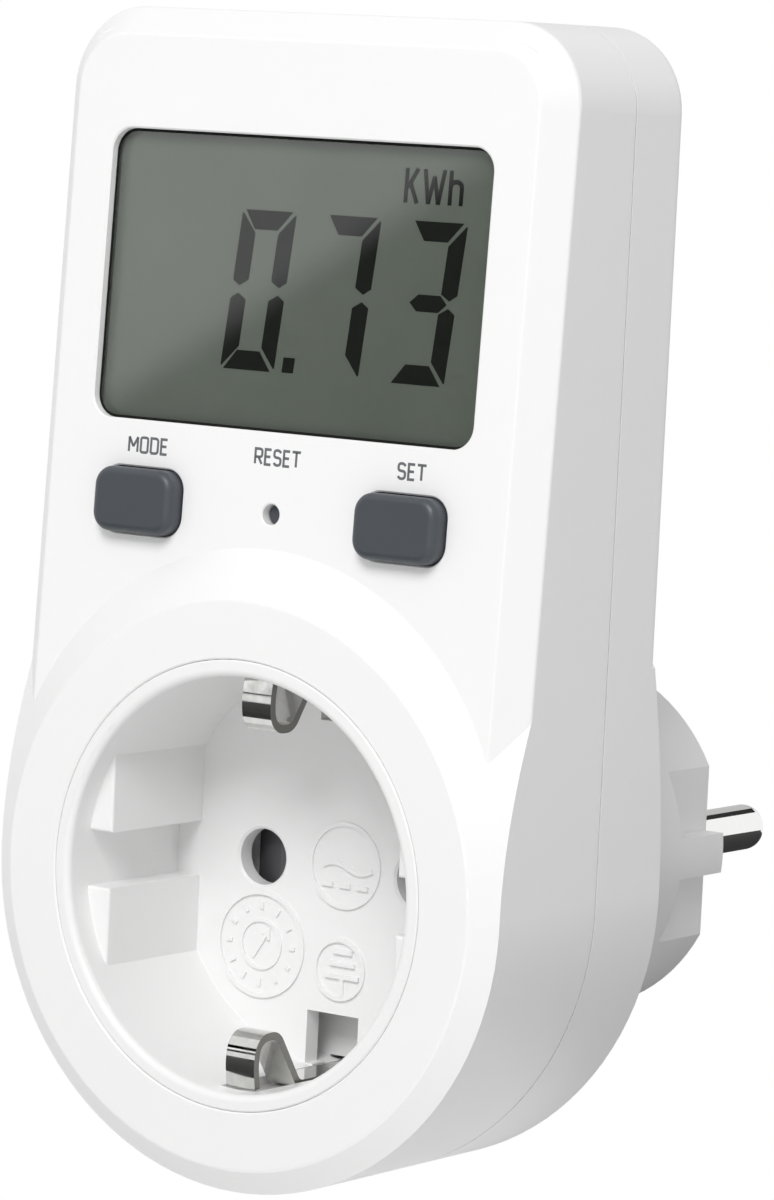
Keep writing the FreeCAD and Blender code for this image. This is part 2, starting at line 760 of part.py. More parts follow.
def make_front_cover():
    """Front shell: leaning face with a bevelled edge, and a coned collar round the socket."""
    body = new_body("front_cover")
    ahead = front - half_width
    high = case_top + half_width
    grow(body, "slab", lambda s: polygon(s, [
        (-half_width, ZERO), (half_width, ZERO), (half_width, case_top), (-half_width, case_top),
    ]), ahead, parting)
    side_prism(body, "Pocket", "lean_cut", [
        (ahead - 1, ZERO), (front, ZERO), (front + high * lean_tan, high), (ahead - 1, high),
    ], half_width * 4)

    def upright_corner(edge):
        start = samples(edge)[0]
        at_side = abs(start.x) > half_width.value - NEAR
        return at_side and start.z > case_top.value - NEAR and same_place(edge)
    dress(body, "Fillet", "upper_corners", corner, upright_corner)

    def face_rim(edge):
        return lies_deep(edge, 0) and samples(edge)[1].z > NEAR
    dress(body, "Chamfer", "front_bevel", bevel, face_rim)

    def bevel_rim(edge):
        ahead_of_seam = max(point.y for point in samples(edge)) < parting.value - NEAR
        outer = on_outline(edge) and ahead_of_seam and not same_place(edge)
        return face_rim(edge) or outer
    dress(body, "Fillet", "bevel_softening", edge_round, bevel_rim)

    beyond = collar_radius + (collar_rise + bevel * 2) / collar_fall
    turn(body, "Revolution", "collar_cone", [
        (ZERO, collar), (collar_radius, collar), (beyond, cone_station(beyond)),
        (beyond, parting), (ZERO, parting),
    ])
    cut(body, "trim", outside_outline, collar - 1, parting + 1)
    dress(body, "Fillet", "collar_edge", collar_round,
          lambda edge: lies_at(edge, collar) and is_round(edge, collar_radius))

    # Inside: a round chamber behind the collar and a chamber behind the leaning face
    deep_end = front + (case_top - wall) * lean_tan + wall
    cut(body, "round_chamber", lambda s: circle(s, ZERO, ZERO, half_width - wall), collar + wall, parting)
    cut(body, "main_chamber", lambda s: case_outline(s, wall), deep_end, parting)
    shoulder = case_top - corner
    side_prism(body, "Pocket", "wedge_chamber", [
        (front + wall, ZERO), (front + shoulder * lean_tan + wall, shoulder),
        (parting, shoulder), (parting, ZERO),
    ], (half_width - wall) * 2)

    # Screw bosses and board posts stand on the inside
    for i, (across, up) in enumerate(screw_places()):
        root = collar + wall / 2
        if up.value > 0:
            root = front + wall / 2 + up * lean_tan
        grow(body, "boss%d" % i, lambda s: circle(s, across, up, boss_radius), root, parting)
        cut(body, "boss_hole%d" % i, lambda s: circle(s, across, up, screw_radius),
            screw_seat - screw_length - 0.5, parting)
    for i, (across, up) in enumerate(post_places()):
        grow(body, "post%d" % i, lambda s: circle(s, across, up, post_radius),
             wall / 2, board_depth, leaning=True)
        cut(body, "post_hole%d" % i, lambda s: circle(s, across, up, small_screw),
            wall + 0.5, board_depth, leaning=True)
    cut(body, "tongue_rebate", lambda s: (
        case_outline(s, wall - tongue - slip), case_outline(s, wall + slip)),
        parting - tongue_reach - slip, parting)

    # Openings
    cut(body, "insert_opening", lambda s: circle(s, ZERO, ZERO, rim_radius + rim_gap),
        collar - 1, collar + wall + flange)
    cut(body, "window_opening", lambda s: rounded_rectangle(
        s, -window_half, window_half, window_low, window_high, window_corner),
        ZERO - 1, wall + 1, leaning=True)
    lap = pane_lap + slip
    cut(body, "pane_rebate", lambda s: rounded_rectangle(
        s, -window_half - lap, window_half + lap, window_low - lap, window_high + lap, pane_corner + slip),
        window_drop, wall + 1, leaning=True)
    lap = cell_lap + slip
    cut(body, "cell_recess", lambda s: rounded_rectangle(
        s, -window_half - lap, window_half + lap, window_low - lap, window_high + lap, cell_corner + slip),
        window_drop + pane_thick, wall + 1, leaning=True)
    for name, side in (("left", -1), ("right", 1)):
        reach_x = key_wide / 2 + key_gap
        reach_z = key_tall / 2 + key_gap
        cut(body, name + "_key_opening", lambda s: rounded_rectangle(
            s, key_middle(side) - reach_x, key_middle(side) + reach_x,
            key_row - reach_z, key_row + reach_z, key_corner + key_gap),
            ZERO - 1, wall + 1, leaning=True)
    cut(body, "reset_opening", lambda s: circle(s, ZERO, key_row, reset_radius),
        ZERO - 1, wall + 1, leaning=True)

    def opening_mouth(edge):
        on_collar = lies_at(edge, collar) and is_round(edge, rim_radius + rim_gap)
        on_face = lies_deep(edge, 0) and max(abs(p.x) for p in samples(edge)) < window_half.value + NEAR
        return on_collar or (on_face and samples(edge)[1].z > key_row.value / 1.2)
    dress(body, "Chamfer", "mouths", mouth_bevel, opening_mouth)


# ---------------------------------------------------------------- rear cover
def boss_cone_station(radius):
    """Station of the rear boss's cone at a radius."""
    return drum_back - (radius - drum_radius) * drum_fall


def make_rear_cover():
    """Rear shell with the round boss and the hollow plug body, its flats, ribs and channels."""
    body = new_body("rear_cover")
    grow(body, "shell", case_outline, parting, case_back)
    dress(body, "Fillet", "back_edge", back_round, lambda edge: lies_at(edge, case_back))
    beyond = drum_radius + drum_rise / drum_fall + 1
    turn(body, "Revolution", "round_boss", [
        (ZERO, parting), (beyond, parting), (beyond, boss_cone_station(beyond)),
        (drum_radius, drum_back), (ZERO, drum_back),
    ])
    cut(body, "trim", outside_outline, parting - 1, drum_back + 1)
    dress(body, "Fillet", "boss_edge", collar_round,
          lambda edge: lies_at(edge, drum_back) and is_round(edge, drum_radius))
    grow(body, "plug_barrel", lambda s: circle(s, ZERO, ZERO, plug_radius), drum_back - 1, ZERO)

    # Flats with a guide rib on each side of the plug, and the earth channels
    outside = plug_radius + 2
    rib = rib_width / 2
    for side, name in ((-1, "left"), (1, "right")):
        for level, part in ((-1, "low"), (1, "high")):
            cut(body, "%s_%s_flat" % (name, part), lambda s: polygon(s, [
                (plug_flat * side, rib * level), (outside * side, rib * level),
                (outside * side, outside * level), (plug_flat * side, outside * level),
            ]), ZERO - flat_length, ZERO + 1)
    groove = channel_width / 2
    for level, part in ((-1, "low"), (1, "high")):
        cut(body, part + "_channel", lambda s: polygon(s, [
            (-groove, channel_floor * level), (groove, channel_floor * level),
            (groove, outside * level), (-groove, outside * level),
        ]), drum_back, ZERO + 1)

    # Inside: case chamber, boss chamber and plug chamber
    cut(body, "case_chamber", lambda s: case_outline(s, wall), parting, case_inside)
    cut(body, "boss_chamber", lambda s: circle(s, ZERO, ZERO, drum_radius - wall),
        case_inside - 1, drum_inside)
    narrow = ZERO - flat_length - plug_wall
    chamber = plug_radius - plug_wall
    cut(body, "plug_chamber", lambda s: circle(s, ZERO, ZERO, chamber), drum_inside - 1, narrow)
    inner_side = plug_flat - plug_wall
    inner_high = channel_floor - plug_wall
    cut(body, "tip_chamber", lambda s: rounded_rectangle(
        s, -inner_side, inner_side, -inner_high, inner_high, plug_radius * 0.45), narrow - 1, end_inside)
    for level, part in ((-1, "low"), (1, "high")):
        grow(body, part + "_channel_back", lambda s: polygon(s, [
            (-groove - plug_wall, inner_high * level), (groove + plug_wall, inner_high * level),
            (groove + plug_wall, channel_floor * level), (-groove - plug_wall, channel_floor * level),
        ]), drum_inside, narrow + 1)
        cut(body, part + "_strip_slot", lambda s: polygon(s, [
            (-groove, channel_floor * level), (groove, channel_floor * level),
            (groove, (plug_radius - 0.6) * level), (-groove, (plug_radius - 0.6) * level),
        ]), drum_inside - 1, drum_back + 1)
    for side, name in ((-1, "left"), (1, "right")):
        cut(body, name + "_pin_hole", lambda s: circle(s, half_pin * side, ZERO, pin_radius + pin_shank),
            end_inside - 1, ZERO + 1)

    # Tongue at the parting line, screw pillars and the posts that press on the contact carrier
    grow(body, "tongue_ring", lambda s: (
        case_outline(s, wall - tongue), case_outline(s, wall)), parting - tongue_reach, parting + 1)
    for i, (across, up) in enumerate(screw_places()):
        grow(body, "pillar%d" % i, lambda s: circle(s, across, up, pillar_radius), parting, case_inside + 1)
        cut(body, "pillar_hole%d" % i, lambda s: circle(s, across, up, screw_radius + slip),
            parting - 1, drum_back + 1)
        cut(body, "pillar_recess%d" % i, lambda s: circle(s, across, up, head_radius + slip * 2),
            screw_seat, drum_back + 1)
    for i, (across, up) in enumerate(((1, 1), (-1, 1), (-1, -1), (1, -1))):
        grow(body, "carrier_post%d" % i, lambda s: circle(
            s, press_x * across, press_z * up, 1.2), carrier_back + bridge, drum_inside + 0.5)

    def plug_rim(edge):
        return lies_at(edge, 0) and max(reach(p) for p in samples(edge)) > channel_floor.value - 0.5
    dress(body, "Chamfer", "plug_end_bevel", plug_round, plug_rim)
    cut(body, "shadow_gap", lambda s: (
        case_outline(s, seam_deep), case_outline(s, ZERO - 1)), parting, parting + seam_gap)


# ---------------------------------------------------------------- socket insert
def chord_half(radius, distance):
    """Half the length of a circle's chord at a distance from its centre."""
    square = radius.value ** 2 - distance.value ** 2
    return Size(math.sqrt(square), "sqrt(%s ^ 2 - %s ^ 2)" % (radius.formula, distance.formula))


def block_outline(sketch, side, level):
    """Draw one guide block between its flat, the groove and the well wall."""
    into_wall = well_radius + well_wall / 2
    groove = groove_width / 2
    middle = chord_half(well_radius, block_flat) * 0.7
    polygon(sketch, [
        (block_flat * side, groove * level),
        (chord_half(into_wall, groove) * side, groove * level),
        (chord_half(into_wall, middle) * side, middle * level),
        (block_flat * side, chord_half(into_wall, block_flat) * level),
    ])


def make_socket_insert():
    """Socket well with its rim, guide blocks, pin holes and earth-clip slots."""
    body = new_body("socket_insert")
    outer = well_radius + well_wall
    seat = collar + wall
    turn(body, "Revolution", "cup", [
        (ZERO, collar), (rim_radius, collar), (rim_radius, seat), (flange_radius, seat),
        (flange_radius, seat + flange), (outer, seat + flange), (outer, carrier_front), (ZERO, carrier_front),
    ])
    cut(body, "well", lambda s: circle(s, ZERO, ZERO, well_radius), collar - 1, well_bottom)
    cut(body, "back_recess", lambda s: circle(s, ZERO, ZERO, well_radius), floor_back, carrier_front + 1)
    dress(body, "Fillet", "mouth", well_round,
          lambda edge: lies_at(edge, collar) and is_round(edge, well_radius))
    dress(body, "Chamfer", "rim_bevel", mouth_bevel,
          lambda edge: lies_at(edge, collar) and is_round(edge, rim_radius))

    # Two guide blocks on each side, with a groove between them
    block_front = collar + block_drop
    for side, name in ((-1, "left"), (1, "right")):
        for level, part in ((-1, "low"), (1, "high")):
            grow(body, "%s_%s_block" % (name, part), lambda s: block_outline(s, side, level),
                 block_front, well_bottom + 1)

    def block_edge(edge):
        inside = all(reach(point) < well_radius.value + NEAR for point in samples(edge))
        return lies_at(edge, block_front) and inside and not is_round(edge, well_radius)
    dress(body, "Fillet", "block_rounding", block_round, block_edge)

    # Pin holes and the slots that the earth clips pass through
    for side, name in ((-1, "left"), (1, "right")):
        cut(body, name + "_pin_hole", lambda s: circle(s, half_pin * side, ZERO, hole_radius),
            well_bottom - 1, floor_back + 1)
        cut(body, name + "_flange_notch", lambda s: circle(
            s, screw_low_x * side, -screw_low, boss_radius + slip), seat - 0.1, seat + flange + 0.1)
    groove = clip_width / 2 + clip_slack
    groove_back = clip_run + strip + slip
    slot = slot_width / 2
    for level, part in ((-1, "low"), (1, "high")):
        cut(body, part + "_clip_groove", lambda s: polygon(s, [
            (-groove, (well_radius - 1) * level), (groove, (well_radius - 1) * level),
            (groove, groove_back * level), (-groove, groove_back * level),
        ]), collar + clip_drop - clip_belly, carrier_front + 1)
        cut(body, part + "_clip_slot", lambda s: polygon(s, [
            (-slot, (clip_reach - 0.1) * level), (slot, (clip_reach - 0.1) * level),
            (slot, (well_radius - 0.3) * level), (-slot, (well_radius - 0.3) * level),
        ]), well_bottom - 0.1, floor_back + 1)

    def pin_mouth(edge):
        return lies_at(edge, well_bottom) and is_round(edge, hole_radius)
    dress(body, "Chamfer", "pin_mouths", hole_bevel, pin_mouth)


# ---------------------------------------------------------------- display stack
def flat_piece(label, left, right, low, high, radius, shallow, deep):
    """Make a rounded plate square to the leaning face."""
    body = new_body(label)
    grow(body, "plate", lambda s: rounded_rectangle(s, left, right, low, high, radius),
         shallow, deep, leaning=True)
    return body


cell_half = window_half + cell_lap
cell_low = window_low - cell_lap
cell_high = window_high + cell_lap
pane_back = window_drop + pane_thick
cell_front = pane_back + cell_gap
cell_back = cell_front + cell_depth


def peg_places():
    """Centres of the four pegs that hold the display holder on the board."""
    side = cell_half - 1.2
    return [
        (-side, cell_high - peg_inset),
        (side, cell_high - peg_inset),
        (-side, cell_low + 0.2),
        (side, cell_low + 0.2),
    ]


def make_display():
    """Pane, display cell, its holder, backing sheet and connector strip."""
    flat_piece("display_window", -window_half - pane_lap, window_half + pane_lap,
               window_low - pane_lap, window_high + pane_lap, pane_corner, window_drop, pane_back)
    flat_piece("display_cell", -cell_half, cell_half, cell_low, cell_high, cell_corner,
               cell_front, cell_back)

    holder = new_body("display_holder")
    rim = holder_rim
    grow(holder, "frame", lambda s: rounded_rectangle(
        s, -cell_half - rim, cell_half + rim, cell_low - rim, cell_high + rim, rim),
        wall + 0.1, board_depth, leaning=True)
    cut(holder, "cell_seat", lambda s: rounded_rectangle(
        s, -cell_half - slip, cell_half + slip, cell_low - slip, cell_high + slip, 0.5),
        wall - 1, cell_back, leaning=True)
    cut(holder, "back_window", lambda s: rounded_rectangle(
        s, -cell_half + 2, cell_half - 2, cell_low + holder_ledge, cell_high - 2, 0.8),
        cell_back - 1, board_depth + 1, leaning=True)
    strip_half = cell_half - 3
    strip_low = cell_low + 0.6
    strip_high = strip_low + connector_tall
    cut(holder, "strip_slot", lambda s: rounded_rectangle(
        s, -strip_half - slip, strip_half + slip, strip_low - slip, strip_high + slip, 0.3),
        cell_back - 1, board_depth + 1, leaning=True)
    for i, (across, up) in enumerate(peg_places()):
        grow(holder, "peg%d" % i, lambda s: circle(s, across, up, peg_radius),
             board_depth - 1, board_back + 0.6, leaning=True)

    flat_piece("display_backing", -cell_half + 2.3, cell_half - 2.3, cell_low + holder_ledge + 0.3,
               cell_high - 2.3, 0.5, cell_back, cell_back + 0.6)
    flat_piece("connector_strip", -strip_half, strip_half, strip_low, strip_high, 0.3,
               cell_back, board_depth)


def make_board():
    """Circuit board with holes for the holder's pegs and the board screws."""
    body = flat_piece("circuit_board", -board_half, board_half, board_low, board_high, 1.0,
                      board_depth, board_back)
    for i, (across, up) in enumerate(post_places()):
        cut(body, "screw_hole%d" % i, lambda s: circle(s, across, up, small_screw + 0.2),
            board_depth - 1, board_back + 1, leaning=True)
    for i, (across, up) in enumerate(peg_places()):
        cut(body, "peg_hole%d" % i, lambda s: circle(s, across, up, peg_radius + 0.1),
            board_depth - 1, board_back + 1, leaning=True)


# ---------------------------------------------------------------- buttons and switches
plunger_front = board_depth - switch_height - plunger_proud
plunger_back = board_depth - switch_height + plunger_rooted


def make_button(label, side):
    """Button cap with a retaining lip and a stem that rests on its switch."""
    body = new_body(label)
    middle = key_middle(side)
    lip_front = wall + 0.05
    half_x = key_wide / 2
    half_z = key_tall / 2
    grow(body, "cap", lambda s: rounded_rectangle(
        s, middle - half_x, middle + half_x, key_row - half_z, key_row + half_z, key_corner),
        ZERO - key_proud, lip_front, leaning=True)
    dress(body, "Fillet", "cap_edge", key_round, lambda edge: lies_deep(edge, -key_proud))
    half_x = half_x + key_lip
    half_z = half_z + key_lip
    grow(body, "lip", lambda s: rounded_rectangle(
        s, middle - half_x, middle + half_x, key_row - half_z, key_row + half_z, key_corner),
        lip_front, lip_front + 0.6, leaning=True)
    grow(body, "stem", lambda s: circle(s, middle, key_row, stem_radius), lip_front, plunger_front,
         leaning=True)


def make_switch(name, side):
    """Push switch: a square body with a bore, and the plunger that slides in it."""
    middle = key_middle(side)
    half = switch_side / 2
    body = new_body(name + "_switch")
    top = board_depth - switch_height
    grow(body, "case", lambda s: rounded_rectangle(
        s, middle - half, middle + half, key_row - half, key_row + half, 0.3),
        top, board_depth, leaning=True)
    cut(body, "bore", lambda s: circle(s, middle, key_row, plunger_radius + plunger_slip),
        top - 1, plunger_back + key_travel + 0.2, leaning=True)
    rivet = half - 0.75
    for i, (across, up) in enumerate(((-1, -1), (-1, 1), (1, -1), (1, 1))):
        cut(body, "rivet%d" % i, lambda s: circle(
            s, middle + rivet * across, key_row + rivet * up, 0.35), top - 1, top + 0.25, leaning=True)
    start = plunger_front
    if side == 0:
        start = wall + 0.4
    keep(lean_rod(name + "_plunger_rod", middle, start, plunger_back, key_row, plunger_radius),
         name + "_plunger")


# ---------------------------------------------------------------- board components
def make_chip():
    """Metering chip with two rows of legs."""
    chip = new_body("metering_chip")
    half_x = chip_long / 2
    half_z = chip_wide / 2
    grow(chip, "package", lambda s: rounded_rectangle(
        s, chip_x - half_x, chip_x + half_x, chip_z - half_z, chip_z + half_z, 0.2),
        board_back + 0.2, board_back + 2.5, leaning=True)
    first = chip_x - leg_pitch * (CHIP_LEGS - 1) / 2
    for level, row in ((-1, "low"), (1, "high")):
        leg = grow(chip, row + "_leg", lambda s: polygon(s, [
            (first - 0.2, chip_z + (half_z - 0.5) * level), (first + 0.2, chip_z + (half_z - 0.5) * level),
            (first + 0.2, chip_z + (half_z + 1.3) * level), (first - 0.2, chip_z + (half_z + 1.3) * level),
        ]), board_back, board_back + 0.7, leaning=True)
        row_of_legs = chip.newObject("PartDesign::LinearPattern", row + "_legs")
        row_of_legs.Originals = [leg]
        row_of_legs.Direction = (origin_part(chip, "X_Axis"), [""])
        row_of_legs.Occurrences = CHIP_LEGS
        bind(row_of_legs, Length=leg_pitch * (CHIP_LEGS - 1))
        chip.Tip = row_of_legs


def make_components():
    """Parts soldered to the back of the board."""
    back = board_back
    keep(lean_box("film_block", film_left, film_left + film_long, back, back + film_thick,
                  film_low, film_low + film_wide), "film_capacitor")
    keep(lean_cross_rod("capacitor_can", can_left, can_left + can_long, back + can_radius, can_z, can_radius),
         "smoothing_capacitor")
    keep(lean_rod("varistor_disc", varistor_x, back, back + varistor_thick, varistor_z, varistor_radius),
         "varistor")
    keep(lean_cross_rod("crystal_can", crystal_left, crystal_left + 8, back + 1.5, crystal_z, 1.5), "crystal")
    keep(lean_cross_rod("resistor_rod", can_left + 1, can_left + can_long, back + 1.8, resistor_z, 1.8),
         "fuse_resistor")

    holder = new_body("cell_holder")
    reach_z = button_radius + 0.8
    grow(holder, "tray", lambda s: rounded_rectangle(
        s, tray_left, tray_left + tray_long, button_z - reach_z, button_z + reach_z, 1.2),
        back, back + 5, leaning=True)
    middles = [tray_left + reach_z, tray_left + tray_long - reach_z]
    for i, across in enumerate(middles):
        cut(holder, "pocket%d" % i, lambda s: circle(s, across, button_z, button_radius + 0.15),
            back + 0.8, back + 6, leaning=True)
    cells = []
    for i, across in enumerate(middles):
        can = lean_rod("cell%d_can" % i, across, back + 0.8, back + 5.3, button_z, button_radius)
        cap = lean_rod("cell%d_cap" % i, across, back + 5.3, back + 5.9, button_z, button_radius - 1.2)
        cells.append(fuse("cell%d" % i, [can, cap]))
    keep(group("cells", cells), "backup_cells")
    flat_piece("cell_clip", middles[0] - 2, middles[1] + 2, button_z - 1.5, button_z + 1.5, 0.4,
               back + 5.9, back + 6.3)

    shunt = flat_piece("current_shunt", -shunt_half, shunt_half, shunt_z - 1.25, shunt_z + 1.25, 0.3,
                       back + 2, back + 3)
    for i, side in enumerate((-1, 1)):
        middle = (shunt_half - 1) * side
        grow(shunt, "leg%d" % i, lambda s: rounded_rectangle(
            s, middle - 1, middle + 1, shunt_z - 1.25, shunt_z + 1.25, 0.3), back, back + 2.5, leaning=True)


# ---------------------------------------------------------------- contacts and shutter
def make_carrier():
    """Moulding behind the well: closes the shutter's chamber and houses the contact tubes."""
    body = new_body("contact_carrier")
    disc_radius = well_radius + well_wall
    grow(body, "disc", lambda s: circle(s, ZERO, ZERO, disc_radius), carrier_front, carrier_back)
    for side, name in ((-1, "left"), (1, "right")):
        grow(body, name + "_chamber", lambda s: circle(s, half_pin * side, ZERO, chamber_radius),
             carrier_back - 1, tube_end - strip)
        cut(body, name + "_bore", lambda s: circle(s, half_pin * side, ZERO, socket_radius + slip),
            carrier_front - 1, tube_end + 1)
    slot = channel_width / 2
    rail = shutter_half + slip
    for level, part in ((-1, "low"), (1, "high")):
        cut(body, part + "_strip_slot", lambda s: polygon(s, [
            (-slot, (clip_run - 0.3) * level), (slot, (clip_run - 0.3) * level),
            (slot, (disc_radius + 1) * level), (-slot, (disc_radius + 1) * level),
        ]), carrier_front - 1, carrier_back + 1)
        grow(body, part + "_rail", lambda s: polygon(s, [
            (-rail_half, rail * level), (rail_half, rail * level),
            (rail_half, (rail + 1.2) * level), (-rail_half, (rail + 1.2) * level),
        ]), floor_back + 0.05, carrier_front + 0.5)
    grow(body, "spring_peg", lambda s: polygon(s, [
        (peg_x, shutter_notch + slip), (peg_x + 1.2, shutter_notch + slip),
        (peg_x + 1.2, rail + 0.5), (peg_x, rail + 0.5),
    ]), floor_back + 0.05, carrier_front + 0.5)


def make_shutter():
    """Sliding shutter: covers both holes, with a ramp over each and a notch for its spring."""
    body = new_body("pin_shutter")
    face = floor_back + shutter_play
    back = carrier_front - shutter_play
    right = half_pin + shutter_lap
    grow(body, "plate", lambda s: rounded_rectangle(
        s, -right, right, -shutter_half, shutter_half, shutter_corner), face, back)
    window_right = half_pin - shutter_lap
    cut(body, "right_window", lambda s: rounded_rectangle(
        s, window_right - shutter_travel, window_right, -hole_radius - 0.2, hole_radius + 0.2, 0.4),
        face - 1, back + 1)
    notch_left = peg_x - spring_length
    cut(body, "spring_notch", lambda s: polygon(s, [
        (notch_left, shutter_notch), (peg_x + 1.3, shutter_notch),
        (peg_x + 1.3, shutter_half + 1), (notch_left, shutter_half + 1),
    ]), face - 1, back + 1)
    for side, name in ((-1, "left"), (1, "right")):
        middle = half_pin * side
        edge_x = middle - shutter_lap
        sketch = sketch_on(body, name + "_ramp_sketch", "XY")
        polygon(sketch, [
            (middle + 1.2, face - 0.2), (edge_x - 1, face - 0.2),
            (edge_x - 1, back - 0.6), (edge_x, back - 0.6),
        ])
        ramp = feature_from(body, "Pocket", sketch, name + "_ramp")
        ramp.Midplane = True
        bind(ramp, Length=hole_radius * 2 + 0.3)


def make_shutter_spring():
    """Compression spring between the shutter's notch and the carrier's peg."""
    wire = spring_wire.value
    length = spring_length.value - wire - 0.02
    helix = Part.makeHelix(length / SPRING_TURNS, length, spring_radius.value)
    middle = FreeCAD.Vector(spring_radius.value, 0, 0)
    ring = Part.Wire([Part.Circle(middle, FreeCAD.Vector(0, 1, 0), wire / 2).toShape()])
    coil = Part.Wire(helix.Edges).makePipeShell([ring], True, True)
    spring = set_shape("spring_coil", coil)
    spring.Placement = FreeCAD.Placement(FreeCAD.Vector(), FreeCAD.Rotation(FreeCAD.Vector(0, 1, 0), 90))
    bind(spring, Placement__Base__x=peg_x - spring_length + spring_wire / 2 + 0.01)
    bind(spring, Placement__Base__y=(floor_back + carrier_front) / 2)
    bind(spring, Placement__Base__z=(shutter_notch + shutter_half + slip) / 2)
    keep(spring, "shutter_spring")


def contact_tube(body, side):
    """Add a slit contact tube with a grip ring round one pin axis."""
    middle = half_pin * side
    grow(body, "tube", lambda s: circle(s, middle, ZERO, socket_radius), carrier_front, tube_end)
    cut(body, "throat", lambda s: circle(s, middle, ZERO, socket_radius - strip),
        carrier_front - 1, tube_end - strip)
    grow(body, "grip", lambda s: (
        circle(s, middle, ZERO, socket_radius - strip / 2), circle(s, middle, ZERO, throat_radius)),
        carrier_front + 1.5, carrier_front + 6)
    for i, level in enumerate((-1, 1)):
        cut(body, "slit%d" % i, lambda s: polygon(s, [
            (middle - 0.5, throat_radius * 0.5 * level), (middle + 0.5, throat_radius * 0.5 * level),
            (middle + 0.5, socket_radius * 1.3 * level), (middle - 0.5, socket_radius * 1.3 * level),
        ]), carrier_front - 1, tube_end - 3)


def make_contacts():
    """Contact tubes for the plugged-in device, with their tails."""
    inner = tube_end - strip
    eye = stub_end + 1.5
    foot = ZERO - stub_radius - 0.9

    neutral = new_body("neutral_contact")
    contact_tube(neutral, 1)
    side_prism(neutral, "Pad", "tail", [
        (inner, ZERO), (inner, tail_high + strip), (eye + strip, tail_high + strip), (eye + strip, foot),
        (eye, foot), (eye, tail_high), (tube_end, tail_high), (tube_end, ZERO),
    ], tail_width, half_pin)
    cut(neutral, "eye_hole", lambda s: circle(s, half_pin, ZERO, stub_radius), eye - 1, eye + strip + 1)

    live = new_body("live_contact")
    contact_tube(live, -1)
    grow(live, "solder_tab", lambda s: rounded_rectangle(
        s, -half_pin - 1.5, -half_pin + 1.5, throat_radius, tab_high, 0.8), inner, tube_end)


def make_pin(label, side):
    """Plug pin with a rounded tip, a thicker shank in the end wall, a flange and a stub."""
    body = new_body(label)
    shank = pin_radius + pin_shank
    wide = pin_radius + 1.1
    turn(body, "Revolution", "turned", [
        (ZERO, pin_length), (pin_radius, pin_length), (pin_radius, ZERO), (shank, ZERO),
        (shank, end_inside), (wide, end_inside),
        (wide, end_inside - pin_flange), (stub_radius, end_inside - pin_flange), (stub_radius, stub_end),
        (ZERO, stub_end),
    ])
    dress(body, "Fillet", "nose", pin_nose, lambda edge: lies_at(edge, pin_length))
    bind(body, Placement__Base__x=half_pin * side)


def make_earth():
    """Upper and lower earth strips, each a clip in the well and a blade in the plug's channel."""
    clip = clip_width / 2
    blade = channel_width / 2 - 0.4
    foot = collar + clip_drop
    crown = foot + clip_arch / 2
    landing = foot + clip_arch
    bend = min(clip_arch.value * 0.3, clip_bow.value * 0.4)
    belly = clip_run - clip_bow * 0.4
    joint = carrier_back + bridge + 0.7
    low_run = channel_floor + 0.3
    bow = [
        (foot, clip_run + 0.1, 0), (foot - clip_belly, belly, clip_bow.value),
        (foot, clip_reach, bend), (crown, clip_reach, bend),
        (landing, clip_run, 1.0), (joint - 0.7, clip_run, 0),
    ]
    tail = [
        (carrier_front + 0.4, clip_run, 0), (joint, clip_run, 0.9),
        (drum_inside - 0.9, low_run, 0.9), (ZERO - flat_length / 2, low_run, 0),
    ]
    for name, angle in (("upper_earth_strip", 0), ("lower_earth_strip", 180)):
        whole = formed_strip(bow, clip).fuse(formed_strip(tail, blade)).removeSplitter()
        feature = set_shape(name + "_form", whole)
        feature.Placement = FreeCAD.Placement(
            FreeCAD.Vector(), FreeCAD.Rotation(FreeCAD.Vector(0, 1, 0), angle))
        keep(feature, name)

    ring = new_body("earth_bridge")
    grow(ring, "ring", lambda s: (
        circle(s, ZERO, ZERO, bridge_outer), circle(s, ZERO, ZERO, bridge_inner)),
        carrier_back, carrier_back + bridge)
    for level, part in ((-1, "low"), (1, "high")):
        cut(ring, part + "_notch", lambda s: polygon(s, [
            (-blade - 0.05, clip_run * level), (blade + 0.05, clip_run * level),
            (blade + 0.05, (bridge_outer + 1) * level), (-blade - 0.05, (bridge_outer + 1) * level),
        ]), carrier_back - 1, carrier_back + bridge + 1)


# ---------------------------------------------------------------- fasteners and leads
def make_screws():
    """Four case screws and two board screws, each set in one sub-part."""
    seat = screw_seat
    screws = []
    for i, (across, up) in enumerate(screw_places()):
        shank = straight_rod("shank%d" % i, across, seat - screw_length, seat + 0.2, up, screw_radius)
        head = straight_rod("head%d" % i, across, seat, seat + head_height, up, head_radius)
        bar = upright_box("drive_bar%d" % i, across, up, drive_long, drive_wide, seat + head_height / 2)
        post = upright_box("drive_post%d" % i, across, up, drive_wide, drive_long, seat + head_height / 2)
        drive = fuse("drive%d" % i, [bar, post])
        screws.append(subtract("screw%d" % i, fuse("screw_blank%d" % i, [shank, head]), drive))
    keep(group("case_screw_set", screws), "case_screws")

    small_set = []
    for i, (across, up) in enumerate(post_places()):
        shank = lean_rod("board_shank%d" % i, across, board_back - 5, board_back + 0.2, up, small_screw)
        head = lean_rod("board_head%d" % i, across, board_back, board_back + 1.2, up, small_screw + 1)
        small_set.append(fuse("board_screw%d" % i, [shank, head]))
    keep(group("board_screw_set", small_set), "board_screws")


def face_point(across, deep, up):
    """A point given across, behind and up the leaning front face."""
    y = front + deep * lean_cos + up * lean_sin
    z = up * lean_cos - deep * lean_sin
    return at(across, y, z)


def at(x, y, z):
    """A point given by sizes or numbers."""
    return FreeCAD.Vector(as_size(x).value, as_size(y).value, as_size(z).value)


